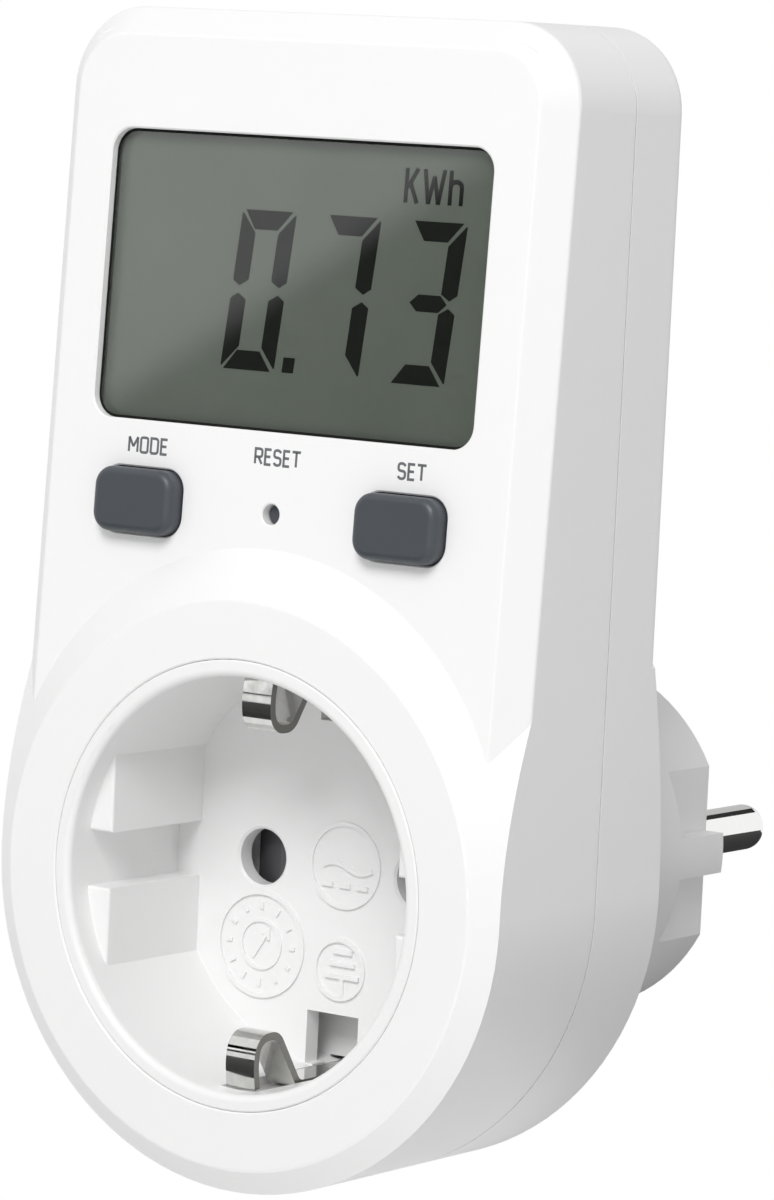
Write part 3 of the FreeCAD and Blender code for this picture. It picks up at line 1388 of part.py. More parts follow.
def make_lead(label, points):
    """Insulated lead along straight runs and tangent bends."""
    path = bent_path([(point, lead_bend.value) for point in points])
    start = points[0]
    along = points[1] - points[0]
    ring = Part.Wire([Part.Circle(start, along, lead_radius.value).toShape()])
    keep(set_shape(label + "_form", path.makePipeShell([ring], True, False)), label)


def make_leads():
    """Leads from the plug pins and the contact tubes to the board."""
    gap = (carrier_back + bridge + drum_inside) / 2
    clear = (well_radius + well_wall + drum_radius - wall) / 2
    ahead = carrier_front - 1.1
    row = board_low + 2.2
    loop = board_back + 7.2
    near = half_pin + 0.5
    loft = plug_radius - 6.9
    rise = chord_half(clear, near)
    first_bend = stub_end - 4
    make_lead("supply_lead", [
        at(-half_pin, stub_end, 0), at(-half_pin, first_bend, 0), at(-near, first_bend, loft),
        at(-near, gap, loft), at(-near, gap, rise), at(-near, ahead, rise),
        face_point(-near - 1, loop, row), face_point(-near - 1, board_back, row),
    ])
    close = half_pin * 0.59
    second_bend = tube_end + 4
    tab = tab_high - 1.4
    crossing = plug_radius - 6
    short_rise = chord_half(clear, close)
    make_lead("switched_lead", [
        at(-half_pin, tube_end, tab), at(-half_pin, second_bend, tab), at(-close, second_bend, crossing),
        at(-close, gap, crossing), at(-close, gap, short_rise), at(-close, ahead, short_rise),
        face_point(-close + 1, loop, row), face_point(-close + 1, board_back, row),
    ])
    middle = (tube_end + stub_end) / 2
    make_lead("neutral_lead", [
        at(near, middle, tail_high + strip), at(near, middle, loft),
        at(near, gap, loft), at(near, gap, rise), at(near, ahead, rise),
        face_point(near + 1, loop, row), face_point(near + 1, board_back, row),
    ])


# ---------------------------------------------------------------- build and write
make_front_cover()
make_rear_cover()
make_socket_insert()
make_display()
make_board()
make_button("mode_button", -1)
make_button("set_button", 1)
make_switch("mode", -1)
make_switch("set", 1)
make_switch("reset", 0)
make_chip()
make_components()
make_carrier()
make_shutter()
make_shutter_spring()
make_contacts()
make_pin("left_pin", -1)
make_pin("right_pin", 1)
make_earth()
make_screws()
make_leads()
doc.recompute()

for thing in doc.Objects:
    if "Invalid" in thing.State or "Error" in thing.State:
        raise RuntimeError("%s is %s" % (thing.Name, thing.State))
for thing in sub_parts:
    if thing.Shape.isNull() or not thing.Shape.isValid():
        raise RuntimeError("%s has a bad shape" % thing.Label)
os.makedirs("parts", exist_ok=True)
for thing in sub_parts:
    thing.Shape.exportStep("parts/%s.step" % thing.Label)
    print("%-22s solids %d volume %9.1f" % (thing.Label, len(thing.Shape.Solids), thing.Shape.Volume))
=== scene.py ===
"""Looks of the plug-in power meter: materials, figures, lettering, light and camera.

Metres, in the frame of the CAD model. Points on the leaning front face are given in
millimetres: across, up the face from the level of the socket's axis, and behind the face.
"""
import bpy
import bmesh
import json
import math
from mathutils import Matrix, Vector


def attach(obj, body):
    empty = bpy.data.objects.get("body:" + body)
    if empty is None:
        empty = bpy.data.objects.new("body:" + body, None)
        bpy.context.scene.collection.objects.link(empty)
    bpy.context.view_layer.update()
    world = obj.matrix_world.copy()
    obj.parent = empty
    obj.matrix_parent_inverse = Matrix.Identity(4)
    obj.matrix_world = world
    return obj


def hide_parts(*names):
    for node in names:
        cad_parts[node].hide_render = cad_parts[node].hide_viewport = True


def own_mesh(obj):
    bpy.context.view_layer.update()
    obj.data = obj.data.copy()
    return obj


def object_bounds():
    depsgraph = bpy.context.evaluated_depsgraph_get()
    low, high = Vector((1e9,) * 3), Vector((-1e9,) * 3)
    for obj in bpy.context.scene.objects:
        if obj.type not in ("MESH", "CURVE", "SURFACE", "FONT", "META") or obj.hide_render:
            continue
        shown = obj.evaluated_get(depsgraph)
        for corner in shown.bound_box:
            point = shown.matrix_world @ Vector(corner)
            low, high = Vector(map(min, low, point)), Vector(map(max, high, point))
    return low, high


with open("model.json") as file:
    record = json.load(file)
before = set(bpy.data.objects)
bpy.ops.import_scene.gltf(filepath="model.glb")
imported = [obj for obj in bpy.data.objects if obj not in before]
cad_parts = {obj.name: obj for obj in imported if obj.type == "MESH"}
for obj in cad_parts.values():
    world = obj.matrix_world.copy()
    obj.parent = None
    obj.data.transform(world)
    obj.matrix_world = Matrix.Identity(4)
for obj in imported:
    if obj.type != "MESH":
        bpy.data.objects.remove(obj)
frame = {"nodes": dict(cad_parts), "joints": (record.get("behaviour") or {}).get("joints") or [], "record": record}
scene = bpy.context.scene
cad_box = [list(corner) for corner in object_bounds()]
MM = 0.001

# ---------------------------------------------------------------- places from the CAD
# millimetres: the face at the level of the socket's axis, then places on the face
FACE_FRONT = -58.3
PANE_FRONT = 0.9
CELL_FRONT = 1.55
RESET_UP = 35.45

joints = {row["name"]: row for row in frame["joints"]}
mounts = {row["name"]: row for row in frame["record"]["mounts"]}
FACE_IN = Vector(joints["mode_press"]["axis"]).normalized()
FACE_RIGHT = Vector((1, 0, 0))
FACE_UP = FACE_RIGHT.cross(FACE_IN)
FACE_FOOT = Vector((0, FACE_FRONT * MM, 0))
WELL_FLOOR = mounts["well_floor"]["pos_m"][1]


def on_face(across, up, depth):
    """Point given in millimetres across, up and behind the leaning face."""
    return FACE_FOOT + (FACE_RIGHT * across + FACE_UP * up + FACE_IN * depth) * MM


# ---------------------------------------------------------------- node materials
NOISE_LOW = 0.3
NOISE_HIGH = 0.7
TONE_SCALE = 45.0
GLOSS_SCALE = 160.0
GLOSS_SWING = 0.03
COAT_ROUGH = 0.12
METAL_SMOOTHER = 0.75
METAL_ROUGHER = 1.35
PANE_SCALE = 220.0
PANE_ROUGH = (0.015, 0.025)
ACRYLIC_IOR = 1.49
SHEAR_START = 0.6
SHEAR_END = 0.85
# a mix node's factor, and its two inputs and its output for each kind
MIX_FACTOR = 0
MIX_SOCKETS = {"FLOAT": (2, 3, 0), "RGBA": (6, 7, 2)}


def new_material(name):
    """Start a node material and return it with its shader."""
    made = bpy.data.materials.new(name)
    made.use_nodes = True
    return made, made.node_tree.nodes["Principled BSDF"]


def bare_material(name):
    """Start a node material without a shader."""
    made, shader = new_material(name)
    made.node_tree.nodes.remove(shader)
    return made


def add_node(material, kind, **inputs):
    """Add a node and set its plain inputs by name, with an underscore for a space."""
    node = material.node_tree.nodes.new(kind)
    for name, value in inputs.items():
        node.inputs[name.replace("_", " ")].default_value = value
    return node


def wire(material, source, target):
    """Link an output to an input."""
    material.node_tree.links.new(source, target)


def feed(material, value, target):
    """Give an input a plain value, or link another node's output to it."""
    if isinstance(value, bpy.types.NodeSocket):
        wire(material, value, target)
    else:
        target.default_value = value


def object_place(material):
    """Output with the place on the piece, in metres."""
    return add_node(material, "ShaderNodeTexCoord").outputs["Object"]


def noise(material, scale, detail=2.0, rough=0.5, stretch=None):
    """Noise over the piece; scale is in features per metre."""
    made = add_node(material, "ShaderNodeTexNoise", Scale=scale, Detail=detail, Roughness=rough)
    place = object_place(material)
    if stretch:
        mapping = add_node(material, "ShaderNodeMapping", Scale=stretch)
        wire(material, place, mapping.inputs["Vector"])
        place = mapping.outputs["Vector"]
    wire(material, place, made.inputs["Vector"])
    return made.outputs["Fac"]


def spread(material, source, low, high):
    """Map the usual range of a noise value to another range."""
    made = add_node(
        material, "ShaderNodeMapRange",
        From_Min=NOISE_LOW, From_Max=NOISE_HIGH, To_Min=low, To_Max=high)
    wire(material, source, made.inputs["Value"])
    return made.outputs["Result"]


def ramp(material, source, start, end):
    """Value that climbs smoothly from 0 to 1 between two values."""
    made = add_node(material, "ShaderNodeMapRange", From_Min=start, From_Max=end)
    made.interpolation_type = "SMOOTHSTEP"
    wire(material, source, made.inputs["Value"])
    return made.outputs["Result"]


def combine(material, operation, first, second):
    """Join two outputs, or an output and a number, by an operation."""
    made = material.node_tree.nodes.new("ShaderNodeMath")
    made.operation = operation
    feed(material, first, made.inputs[0])
    feed(material, second, made.inputs[1])
    return made.outputs["Value"]


def blend(material, kind, factor, first, second):
    """Mix two numbers (kind FLOAT) or two colours (kind RGBA) by a factor."""
    made = material.node_tree.nodes.new("ShaderNodeMix")
    made.data_type = kind
    first_input, second_input, result = MIX_SOCKETS[kind]
    feed(material, first, made.inputs[first_input])
    feed(material, second, made.inputs[second_input])
    wire(material, factor, made.inputs[MIX_FACTOR])
    return made.outputs[result]


def darker(colour, share):
    """Opaque colour that is darker by a share."""
    return (*[part * (1 - share) for part in colour], 1)


def bump(material, height, distance):
    """Turn a height into a bump of a depth in metres."""
    made = add_node(material, "ShaderNodeBump", Strength=1.0, Distance=distance)
    wire(material, height, made.inputs["Height"])
    return made.outputs["Normal"]


def moulded(name, colour, rough, shift=0.03, grain=2600.0, grain_depth=6e-6, coat=0.0):
    """Moulded plastic: a faint tone shift, uneven gloss and a fine grain."""
    made, shader = new_material(name)
    tone = spread(made, noise(made, TONE_SCALE, detail=3.0), 0.0, 1.0)
    mixed = blend(made, "RGBA", tone, (*colour, 1), darker(colour, shift))
    wire(made, mixed, shader.inputs["Base Color"])
    gloss = noise(made, GLOSS_SCALE, detail=3.0)
    gloss = spread(made, gloss, rough - GLOSS_SWING, rough + GLOSS_SWING)
    wire(made, gloss, shader.inputs["Roughness"])
    wire(made, bump(made, noise(made, grain), grain_depth), shader.inputs["Normal"])
    shader.inputs["Coat Weight"].default_value = coat
    shader.inputs["Coat Roughness"].default_value = COAT_ROUGH
    return made


def metal(name, colour, rough, streak=(1.0, 1.0, 1.0), depth=4e-6, scale=900.0, worn=0.14):
    """Metal with rolling or turning marks; streak below 1 draws them out along that axis."""
    made, shader = new_material(name)
    shader.inputs["Metallic"].default_value = 1.0
    marks = noise(made, scale, detail=4.0, rough=0.6, stretch=streak)
    tone = spread(made, marks, 0.0, 1.0)
    mixed = blend(made, "RGBA", tone, (*colour, 1), darker(colour, worn))
    wire(made, mixed, shader.inputs["Base Color"])
    gloss = spread(made, marks, rough * METAL_SMOOTHER, rough * METAL_ROUGHER)
    wire(made, gloss, shader.inputs["Roughness"])
    wire(made, bump(made, marks, depth), shader.inputs["Normal"])
    return made


def sheared_edges(material, dull, rough):
    """Make a strip's cut edges, which face left and right, duller than its rolled faces."""
    shader = material.node_tree.nodes["Principled BSDF"]
    facing = add_node(material, "ShaderNodeTexCoord").outputs["Normal"]
    split = add_node(material, "ShaderNodeSeparateXYZ")
    wire(material, facing, split.inputs["Vector"])
    sideways = combine(material, "ABSOLUTE", split.outputs["X"], 0.0)
    edge = ramp(material, sideways, SHEAR_START, SHEAR_END)
    for name, kind, value in (("Base Color", "RGBA", (*dull, 1)), ("Roughness", "FLOAT", rough)):
        rolled = shader.inputs[name].links[0].from_socket
        wire(material, blend(material, kind, edge, rolled, value), shader.inputs[name])
    return material


def mix_shaders(material, factor, first, second):
    """Mix two shaders by a factor."""
    made = add_node(material, "ShaderNodeMixShader")
    wire(material, factor, made.inputs["Fac"])
    wire(material, first, made.inputs[1])
    wire(material, second, made.inputs[2])
    return made.outputs["Shader"]


def show(material, shader):
    """Make a shader the material's surface."""
    wire(material, shader, material.node_tree.nodes["Material Output"].inputs["Surface"])


def clear_pane():
    """Clear acrylic: shows what is behind it and mirrors the studio at its outer faces."""
    made = bare_material("clear_pane")
    through = add_node(made, "ShaderNodeBsdfTransparent", Color=(0.97, 0.98, 0.97, 1))
    mirror = add_node(made, "ShaderNodeBsdfGlossy", Color=(1, 1, 1, 1))
    gloss = spread(made, noise(made, PANE_SCALE), *PANE_ROUGH)
    wire(made, gloss, mirror.inputs["Roughness"])
    share = add_node(made, "ShaderNodeFresnel", IOR=ACRYLIC_IOR).outputs["Fac"]
    inner = add_node(made, "ShaderNodeNewGeometry").outputs["Backfacing"]
    share = combine(made, "MULTIPLY", share, combine(made, "SUBTRACT", 1.0, inner))
    show(made, mix_shaders(made, share, through.outputs["BSDF"], mirror.outputs["BSDF"]))
    return made


ALONG_X = (0.12, 1.0, 1.0)
ALONG_Y = (1.0, 0.12, 1.0)
ROUND_Y = (0.2, 1.0, 0.2)
FINE_GRAIN = {"grain": 6000.0, "grain_depth": 1.5e-6}

finishes = {
    "white_case": moulded("white_case", (0.88, 0.88, 0.878), 0.36, shift=0.006, **FINE_GRAIN),
    "white_socket": moulded("white_socket", (0.87, 0.87, 0.868), 0.34, shift=0.006, **FINE_GRAIN),
    "clear_pane": clear_pane(),
    "display_glass": moulded(
        "display_glass", (0.117, 0.131, 0.113), 0.15, shift=0.05, grain=5200.0, grain_depth=2e-6),
    "display_sheet": moulded("display_sheet", (0.33, 0.34, 0.30), 0.6, shift=0.05),
    "grey_key": moulded(
        "grey_key", (0.053, 0.061, 0.072), 0.42, shift=0.08, grain=3400.0, grain_depth=1e-5),
    "black_plastic": moulded("black_plastic", (0.085, 0.085, 0.092), 0.5, shift=0.15),
    "natural_plastic": moulded("natural_plastic", (0.62, 0.59, 0.51), 0.45, shift=0.05),
    "zebra_rubber": moulded("zebra_rubber", (0.27, 0.02, 0.04), 0.6, shift=0.3, grain=6000.0),
    "board_green": moulded(
        "board_green", (0.012, 0.075, 0.03), 0.35,
        shift=0.35, grain=1500.0, grain_depth=1e-5, coat=0.3),
    "chip_black": moulded("chip_black", (0.016, 0.016, 0.018), 0.55, shift=0.2),
    "film_red": moulded("film_red", (0.17, 0.012, 0.01), 0.28, shift=0.2),
    "can_sleeve": moulded("can_sleeve", (0.01, 0.012, 0.03), 0.3, shift=0.2),
    "disc_blue": moulded("disc_blue", (0.015, 0.06, 0.22), 0.35, shift=0.2),
    "resistor_body": moulded("resistor_body", (0.27, 0.2, 0.11), 0.45, shift=0.2),
    "wire_red": moulded("wire_red", (0.24, 0.008, 0.008), 0.42, shift=0.1),
    "wire_blue": moulded("wire_blue", (0.008, 0.02, 0.17), 0.42, shift=0.1),
    "steel": metal("steel", (0.55, 0.56, 0.57), 0.28),
    "tinned_strip": sheared_edges(
        metal("tinned_strip", (0.72, 0.72, 0.70), 0.09, streak=ALONG_Y, depth=1e-6),
        dull=(0.24, 0.235, 0.22), rough=0.4),
    "contact_brass": metal("contact_brass", (0.62, 0.42, 0.14), 0.3, streak=ALONG_Y),
    "plated_pin": metal(
        "plated_pin", (0.90, 0.90, 0.89), 0.045, streak=ROUND_Y, depth=0.0, scale=2400.0, worn=0.02),
    "shunt_metal": metal("shunt_metal", (0.36, 0.2, 0.1), 0.3, streak=ALONG_X),
    "screw_steel": metal("screw_steel", (0.48, 0.48, 0.49), 0.3),
}
print_ink = moulded("print_ink", (0.135, 0.14, 0.15), 0.5, shift=0.1, grain=4000.0)
figure_ink_and_edge_shade = moulded("figure_ink_and_edge_shade", (0.0115, 0.0125, 0.0115), 0.5, shift=0.1, grain=4000.0)
# a real display's figures lie inside its cell, so here they hardly mirror the studio
for finish, level in ((finishes["display_glass"], 0.42), (figure_ink_and_edge_shade, 0.06)):
    finish.node_tree.nodes["Principled BSDF"].inputs["Specular IOR Level"].default_value = level

slots = {row["node"]: row["material_slot"] for row in frame["record"]["subparts"]}
for name, node in frame["nodes"].items():
    node.data.materials.clear()
    # the reset plunger takes the keys' dark grey in place of its own finish: painted shade, so the deep reset hole
    # looks dark
    node.data.materials.append(finishes["grey_key" if name == "reset_plunger" else slots[name]])


# ---------------------------------------------------------------- mesh helpers
SHARP_ANGLE = math.radians(30)


def link_mesh(mesh, name, material):
    """Turn a bmesh into an object of the scene."""
    data = bpy.data.meshes.new(name)
    mesh.to_mesh(data)
    mesh.free()
    made = bpy.data.objects.new(name, data)
    scene.collection.objects.link(made)
    data.materials.append(material)
    return made


def finish_piece(mesh, name, material, body):
    """Link a bmesh as a piece that rides on a body."""
    bmesh.ops.recalc_face_normals(mesh, faces=mesh.faces)
    piece = link_mesh(mesh, name, material)
    for face in piece.data.polygons:
        face.use_smooth = True
    piece.data.set_sharp_from_angle(angle=SHARP_ANGLE)
    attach(piece, body)


def add_plate(mesh, outline, place, thick):
    """Add a flat plate with an outline of (across, up), laid by place(across, up, height)."""
    low = [mesh.verts.new(place(a, u, 0.0)) for a, u in outline]
    high = [mesh.verts.new(place(a, u, thick)) for a, u in outline]
    mesh.faces.new(low)
    mesh.faces.new(list(reversed(high)))
    count = len(outline)
    for i in range(count):
        j = (i + 1) % count
        mesh.faces.new((low[j], low[i], high[i], high[j]))


# ---------------------------------------------------------------- the display's figures
# millimetres on the face
FIGURE_LOW = 48.92
FIGURE_TALL = 15.32
FIGURE_WIDE = 6.4
FIGURE_SLANT = 0.0875
FIGURE_PITCH = 9.9
FIRST_LEFT = -8.47
BAR = 1.85
BAR_GAP = 0.22
MIDDLE_BAR_HALF = 0.8
POINT_GAP = 0.95
POINT_WIDE = 1.35
POINT_LOW = 0.05
POINT_HIGH = 1.5
FILM_STAND = 0.03
FILM_THICK = 0.02
SEGMENTS = {"0": "abcdef", "7": "abc", "3": "abcdg"}


def cell_film(across, up, height):
    """Place for a film that stands just before the display cell."""
    return on_face(across, up, CELL_FRONT - FILM_STAND + height)


def segment_outline(letter):
    """Outline of one segment in a digit's own upright box, in millimetres."""
    wide, tall, mid = FIGURE_WIDE, FIGURE_TALL, FIGURE_TALL / 2
    if letter == "a":
        return [(0.35, tall), (wide - 0.45, tall),
                (wide - BAR - 0.15, tall - BAR), (BAR - 0.15, tall - BAR)]
    if letter == "d":
        return [(x, tall - y) for x, y in segment_outline("a")]
    if letter == "g":
        low, high = mid - MIDDLE_BAR_HALF, mid + MIDDLE_BAR_HALF
        return [(1.1, mid), (2.0, high), (wide - 1.9, high),
                (wide - 1.05, mid), (wide - 1.9, low), (2.0, low)]
    if letter == "f":
        return [(0, tall - 0.35), (0, mid + 0.9), (BAR * 0.45, mid + BAR_GAP * 1.6),
                (BAR, mid + 0.95), (BAR, tall - BAR - BAR_GAP * 1.7), (0.12, tall - 0.3)]
    if letter == "e":
        return [(x, tall - y) for x, y in segment_outline("f")]
    if letter == "b":
        return [(wide - x, y) for x, y in segment_outline("f")]
    return [(wide - x, tall - y) for x, y in segment_outline("f")]


def figure_place(left):
    """Place for a digit whose box starts at left, slanted as the display's digits are."""
    def place(across, up, height):
        return cell_film(left + across + up * FIGURE_SLANT, FIGURE_LOW + up, height)
    return place


def make_figures():
    """The digits and the decimal point, thin films on the display cell."""
    mesh = bmesh.new()
    for i, digit in enumerate("073"):
        place = figure_place(FIRST_LEFT + i * FIGURE_PITCH)
        for letter in SEGMENTS[digit]:
            add_plate(mesh, segment_outline(letter), place, FILM_THICK)
    point = [(0, POINT_LOW), (POINT_WIDE, POINT_LOW), (POINT_WIDE, POINT_HIGH), (0, POINT_HIGH)]
    add_plate(mesh, point, figure_place(FIRST_LEFT + FIGURE_WIDE + POINT_GAP), FILM_THICK)
    finish_piece(mesh, "display_figures", figure_ink_and_edge_shade, "case")


# ---------------------------------------------------------------- stroked lettering
# cosines: the bend that splits a line, and the least that a mitre is measured by
SHARP_BEND = -0.3
MITRE_LEAST = 0.45
# shares of a letter's height
JOIN_SHARE = 0.004
LETTER_GAP = 0.2
UNIT_GAP = 0.24
# millimetres on the face
WORD_TALL = 1.69
WORD_STROKE = 0.26
UNIT_MIDDLE = 14.87
UNIT_LOW = 65.62
UNIT_TALL = 3.7
UNIT_WIDE = 6.75
UNIT_STROKE = 0.44
# the dark line round the pane's edge is painted shade of the recess wall
BORDER_HALF_WIDE = 22.3
BORDER_LOW = 43.39
BORDER_HIGH = 71.21
BORDER_CORNER = 2.16
BORDER_HALF_LINE = 0.13
PRINT_SUNK = 0.004
PRINT_AND_SHADE_THICK = 0.012


def arc_points(cx, cy, rx, ry, start, end, count=7):
    """Points along part of an ellipse, from a start angle to an end angle in degrees."""
    angles = [math.radians(start + (end - start) * i / (count - 1)) for i in range(count)]
    return [(cx + rx * math.cos(a), cy + ry * math.sin(a)) for a in angles]


def quarter(cx, cy, radius, start, count=4):
    """Points along a quarter of a circle, anticlockwise from a start angle."""
    return arc_points(cx, cy, radius, radius, start, start + 90, count)


def letter_strokes(letter):
    """Width and strokes of a narrow letter that is one unit tall."""
    if letter == "M":
        return 0.52, [[(0, 0), (0, 1), (0.26, 0.35), (0.52, 1), (0.52, 0)]]
    if letter == "O":
        loop = (quarter(0.3, 0.88, 0.12, 0) + quarter(0.12, 0.88, 0.12, 90)
                + quarter(0.12, 0.12, 0.12, 180) + quarter(0.3, 0.12, 0.12, 270))
        return 0.42, [loop + [(0.42, 0.88)]]
    if letter == "D":
        bow = (arc_points(0.26, 0.84, 0.16, 0.16, 90, 0, 5)
               + arc_points(0.26, 0.16, 0.16, 0.16, 0, -90, 5))
        return 0.42, [[(0, 0), (0, 1)] + bow + [(0, 0)]]
    if letter == "E":
        return 0.36, [[(0.36, 1), (0, 1), (0, 0), (0.36, 0)], [(0, 0.52), (0.32, 0.52)]]
    if letter == "R":
        bow = (arc_points(0.27, 0.86, 0.15, 0.14, 90, 0, 4)
               + arc_points(0.27, 0.60, 0.15, 0.14, 0, -90, 4))
        return 0.42, [[(0, 0), (0, 1)] + bow + [(0, 0.46)], [(0.2, 0.46), (0.42, 0)]]
    if letter == "S":
        upper = (arc_points(0.2, 0.80, 0.2, 0.2, 10, 90, 4) + quarter(0.16, 0.84, 0.16, 90)
                 + arc_points(0.14, 0.66, 0.14, 0.14, 180, 260, 4))
        lower = (arc_points(0.26, 0.36, 0.14, 0.14, 80, 0, 4)
                 + arc_points(0.22, 0.18, 0.18, 0.18, 0, -90, 4)
                 + arc_points(0.2, 0.2, 0.2, 0.2, -90, -170, 4))
        return 0.40, [upper + lower]
    if letter == "T":
        return 0.42, [[(-0.05, 1), (0.47, 1)], [(0.21, 1), (0.21, 0)]]
    if letter == "K":
        return 0.40, [[(0, 0), (0, 1)], [(0.39, 1), (0.06, 0.44)], [(0.14, 0.58), (0.41, 0)]]
    if letter == "W":
        return 0.70, [[(0, 1), (0.17, 0), (0.35, 0.8), (0.53, 0), (0.70, 1)]]
    arch = arc_points(0.20, 0.52, 0.20, 0.16, 180, 0)
    return 0.40, [[(0, 0), (0, 1)], [(0, 0.52)] + arch + [(0.40, 0)]]


def split_sharp(points):
    """Split a line at its sharp bends, so that each part keeps its width."""
    parts, start = [], 0
    for i in range(1, len(points) - 1):
        before = (Vector(points[i]) - Vector(points[i - 1])).normalized()
        after = (Vector(points[i + 1]) - Vector(points[i])).normalized()
        if before.dot(after) < SHARP_BEND:
            parts.append(points[start:i + 1])
            start = i
    return parts + [points[start:]]


def add_stroke(mesh, points, half, place, thick):
    """Add one stroke of even width along (across, up) points, with mitred bends."""
    left, right = [], []
    count = len(points)
    for i, here in enumerate(points):
        here = Vector(here)
        before = here - Vector(points[i - 1]) if i else Vector(points[1]) - here
        after = Vector(points[i + 1]) - here if i < count - 1 else before
        before, after = before.normalized(), after.normalized()
        along = (before + after).normalized()
        side = Vector((-along.y, along.x))
        reach = half / max(MITRE_LEAST, side.dot(Vector((-before.y, before.x))))
        left.append(here + side * reach)
        right.append(here - side * reach)
    for i in range(count - 1):
        add_plate(mesh, [left[i], left[i + 1], right[i + 1], right[i]], place, thick)


def without_doubles(points, least):
    """Points of a line without those that lie closer than a least step to the one before."""
    kept = points[:1]
    for point in points[1:]:
        if (Vector(point) - Vector(kept[-1])).length > least:
            kept.append(point)
    return kept


def add_word(mesh, word, middle, low, tall, wide, stroke, gap, place, thick):
    """Add a word centred at middle, tall high and stretched to wide; gap is a share of tall."""
    widths = [letter_strokes(letter)[0] for letter in word]
    natural = (sum(widths) + gap * (len(word) - 1)) * tall
    squeeze = (wide - stroke) / natural
    pen = middle - (wide - stroke) / 2
    for letter, width in zip(word, widths):
        for points in letter_strokes(letter)[1]:
            line = [(pen + x * tall * squeeze, low + stroke / 2 + y * (tall - stroke))
                    for x, y in points]
            for part in split_sharp(without_doubles(line, JOIN_SHARE * tall)):
                add_stroke(mesh, part, stroke / 2, place, thick)
        pen += (width + gap) * tall * squeeze


def face_print(across, up, height):
    """Place for print on the front face."""
    return on_face(across, up, PRINT_SUNK - height)


def make_lettering():
    """Words over the buttons, and the unit on the display."""
    for name, word, middle, low, wide in (
            ("word_mode", "MODE", -15.25, 39.98, 4.9),
            ("word_reset", "RESET", 0.34, 40.03, 5.5),
            ("word_set", "SET", 15.98, 39.98, 3.32)):
        mesh = bmesh.new()
        add_word(mesh, word, middle, low, WORD_TALL, wide, WORD_STROKE, LETTER_GAP,
                 face_print, PRINT_AND_SHADE_THICK)
        finish_piece(mesh, name, print_ink, "case")
    mesh = bmesh.new()
    add_word(mesh, "KWh", UNIT_MIDDLE, UNIT_LOW, UNIT_TALL, UNIT_WIDE, UNIT_STROKE, UNIT_GAP,
             cell_film, FILM_THICK)
    finish_piece(mesh, "display_unit", figure_ink_and_edge_shade, "case")


def pane_shade_place(across, up, height):
    """Place for the painted shade line on the pane's face."""
    return on_face(across, up, PANE_FRONT - height)


def make_pane_edge_shade():
    """Thin dark line round the edge of the pane: painted shade, standing for the recess wall's shadow on the pane.
    """
    side = BORDER_HALF_WIDE - BORDER_CORNER
    low, high = BORDER_LOW + BORDER_CORNER, BORDER_HIGH - BORDER_CORNER
    points = []
    for across, up, start in ((side, high, 0), (-side, high, 90), (-side, low, 180), (side, low, 270)):
        points += quarter(across, up, BORDER_CORNER, start, 7)
    mesh = bmesh.new()
    add_stroke(mesh, points + points[:1], BORDER_HALF_LINE, pane_shade_place, PRINT_AND_SHADE_THICK)
    finish_piece(mesh, "pane_edge_shade", figure_ink_and_edge_shade, "case")


# ---------------------------------------------------------------- moving pieces
# millimetres: the nose's radii and depths behind the face
TIP_RADIUS = 0.86
TIP_SHOULDER = 1.06
TIP_ROOT = 2.65
TIP_NARROW = 0.74
TIP_END = 0.96
TIP_LAP = 1.3
TIP_POINTS = 32


def make_spring():
    """The shutter's spring, as a steel copy of its node that rides on the case; the real one shortens towards its
    peg as the shutter slides.
    """
    node = frame["nodes"]["shutter_spring"]
    coil = bpy.data.objects.new("spring_coil", node.data.copy())
    coil.matrix_world = node.matrix_world
    scene.collection.objects.link(coil)
    coil.data.materials.clear()
    coil.data.materials.append(finishes["steel"])
    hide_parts("shutter_spring")
    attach(coil, "case")
    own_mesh(coil)


def make_reset_tip():
    """Nose on the reset plunger, which reaches into the hole and ends below the face."""
    def nose(start):
        """Place whose plates start at a depth and reach inwards."""
        return lambda across, up, height: on_face(across, RESET_UP + up, start + height)

    mesh = bmesh.new()
    for radius, start, end in ((TIP_RADIUS, TIP_SHOULDER, TIP_ROOT), (TIP_NARROW, TIP_END, TIP_LAP)):
        circle = arc_points(0, 0, radius, radius, 0, 360 - 360 / TIP_POINTS, TIP_POINTS)
        add_plate(mesh, circle, nose(start), end - start)
    # the nose shares the plunger's dark grey: painted shade in the deep reset hole
    finish_piece(mesh, "reset_tip", finishes["grey_key"], "reset_key")


# ---------------------------------------------------------------- raised marks in the well
# millimetres on the well's floor; a ring is across, up and radius
RING_POINTS = 49
SYMBOL_RING = (0.7, 0.4, 4.1)
WAVE_LEFT = -1.9
WAVE_STEP = 0.33
WAVE_UP = 0.2
WAVE_SWING = 0.42
WAVE_POINTS = 19
DASHES = (-1.9, 0.2, 2.3)
DASH_UP = -1.6
DASH_LONG = 1.3
EARTH_RING = (0.6, -9.9, 2.9)
EARTH_MIDDLE = 1.0
EARTH_BARS = ((1.1, -8.15), (1.5, -9.35), (2.0, -10.6))
EARTH_TOP = -10.6
EARTH_LOW = -12.6
CLOCK_RING = (-9.1, -8.65, 5.15)
CLOCK_DIAL = 2.4
TICKS = 12
TICK_INNER = 3.5
TICK_OUTER = 4.2
RIB_HALF = 0.21
RIB_TALL = 0.3
FINE_HALF = 0.17
FINE_TALL = 0.25
SHAFT_TALL = 0.26
LAYER = 0.006
RIB_SUNK = 0.05


def floor_relief(across, up, height):
    """Place for a raised mark on the well's floor."""
    return Vector((across, WELL_FLOOR / MM + RIB_SUNK - height, up)) * MM


def ring_points(cx, cy, radius):
    """Points round a full ring, the last on the first."""
    return arc_points(cx, cy, radius, radius, 0.0, 360.0, RING_POINTS)


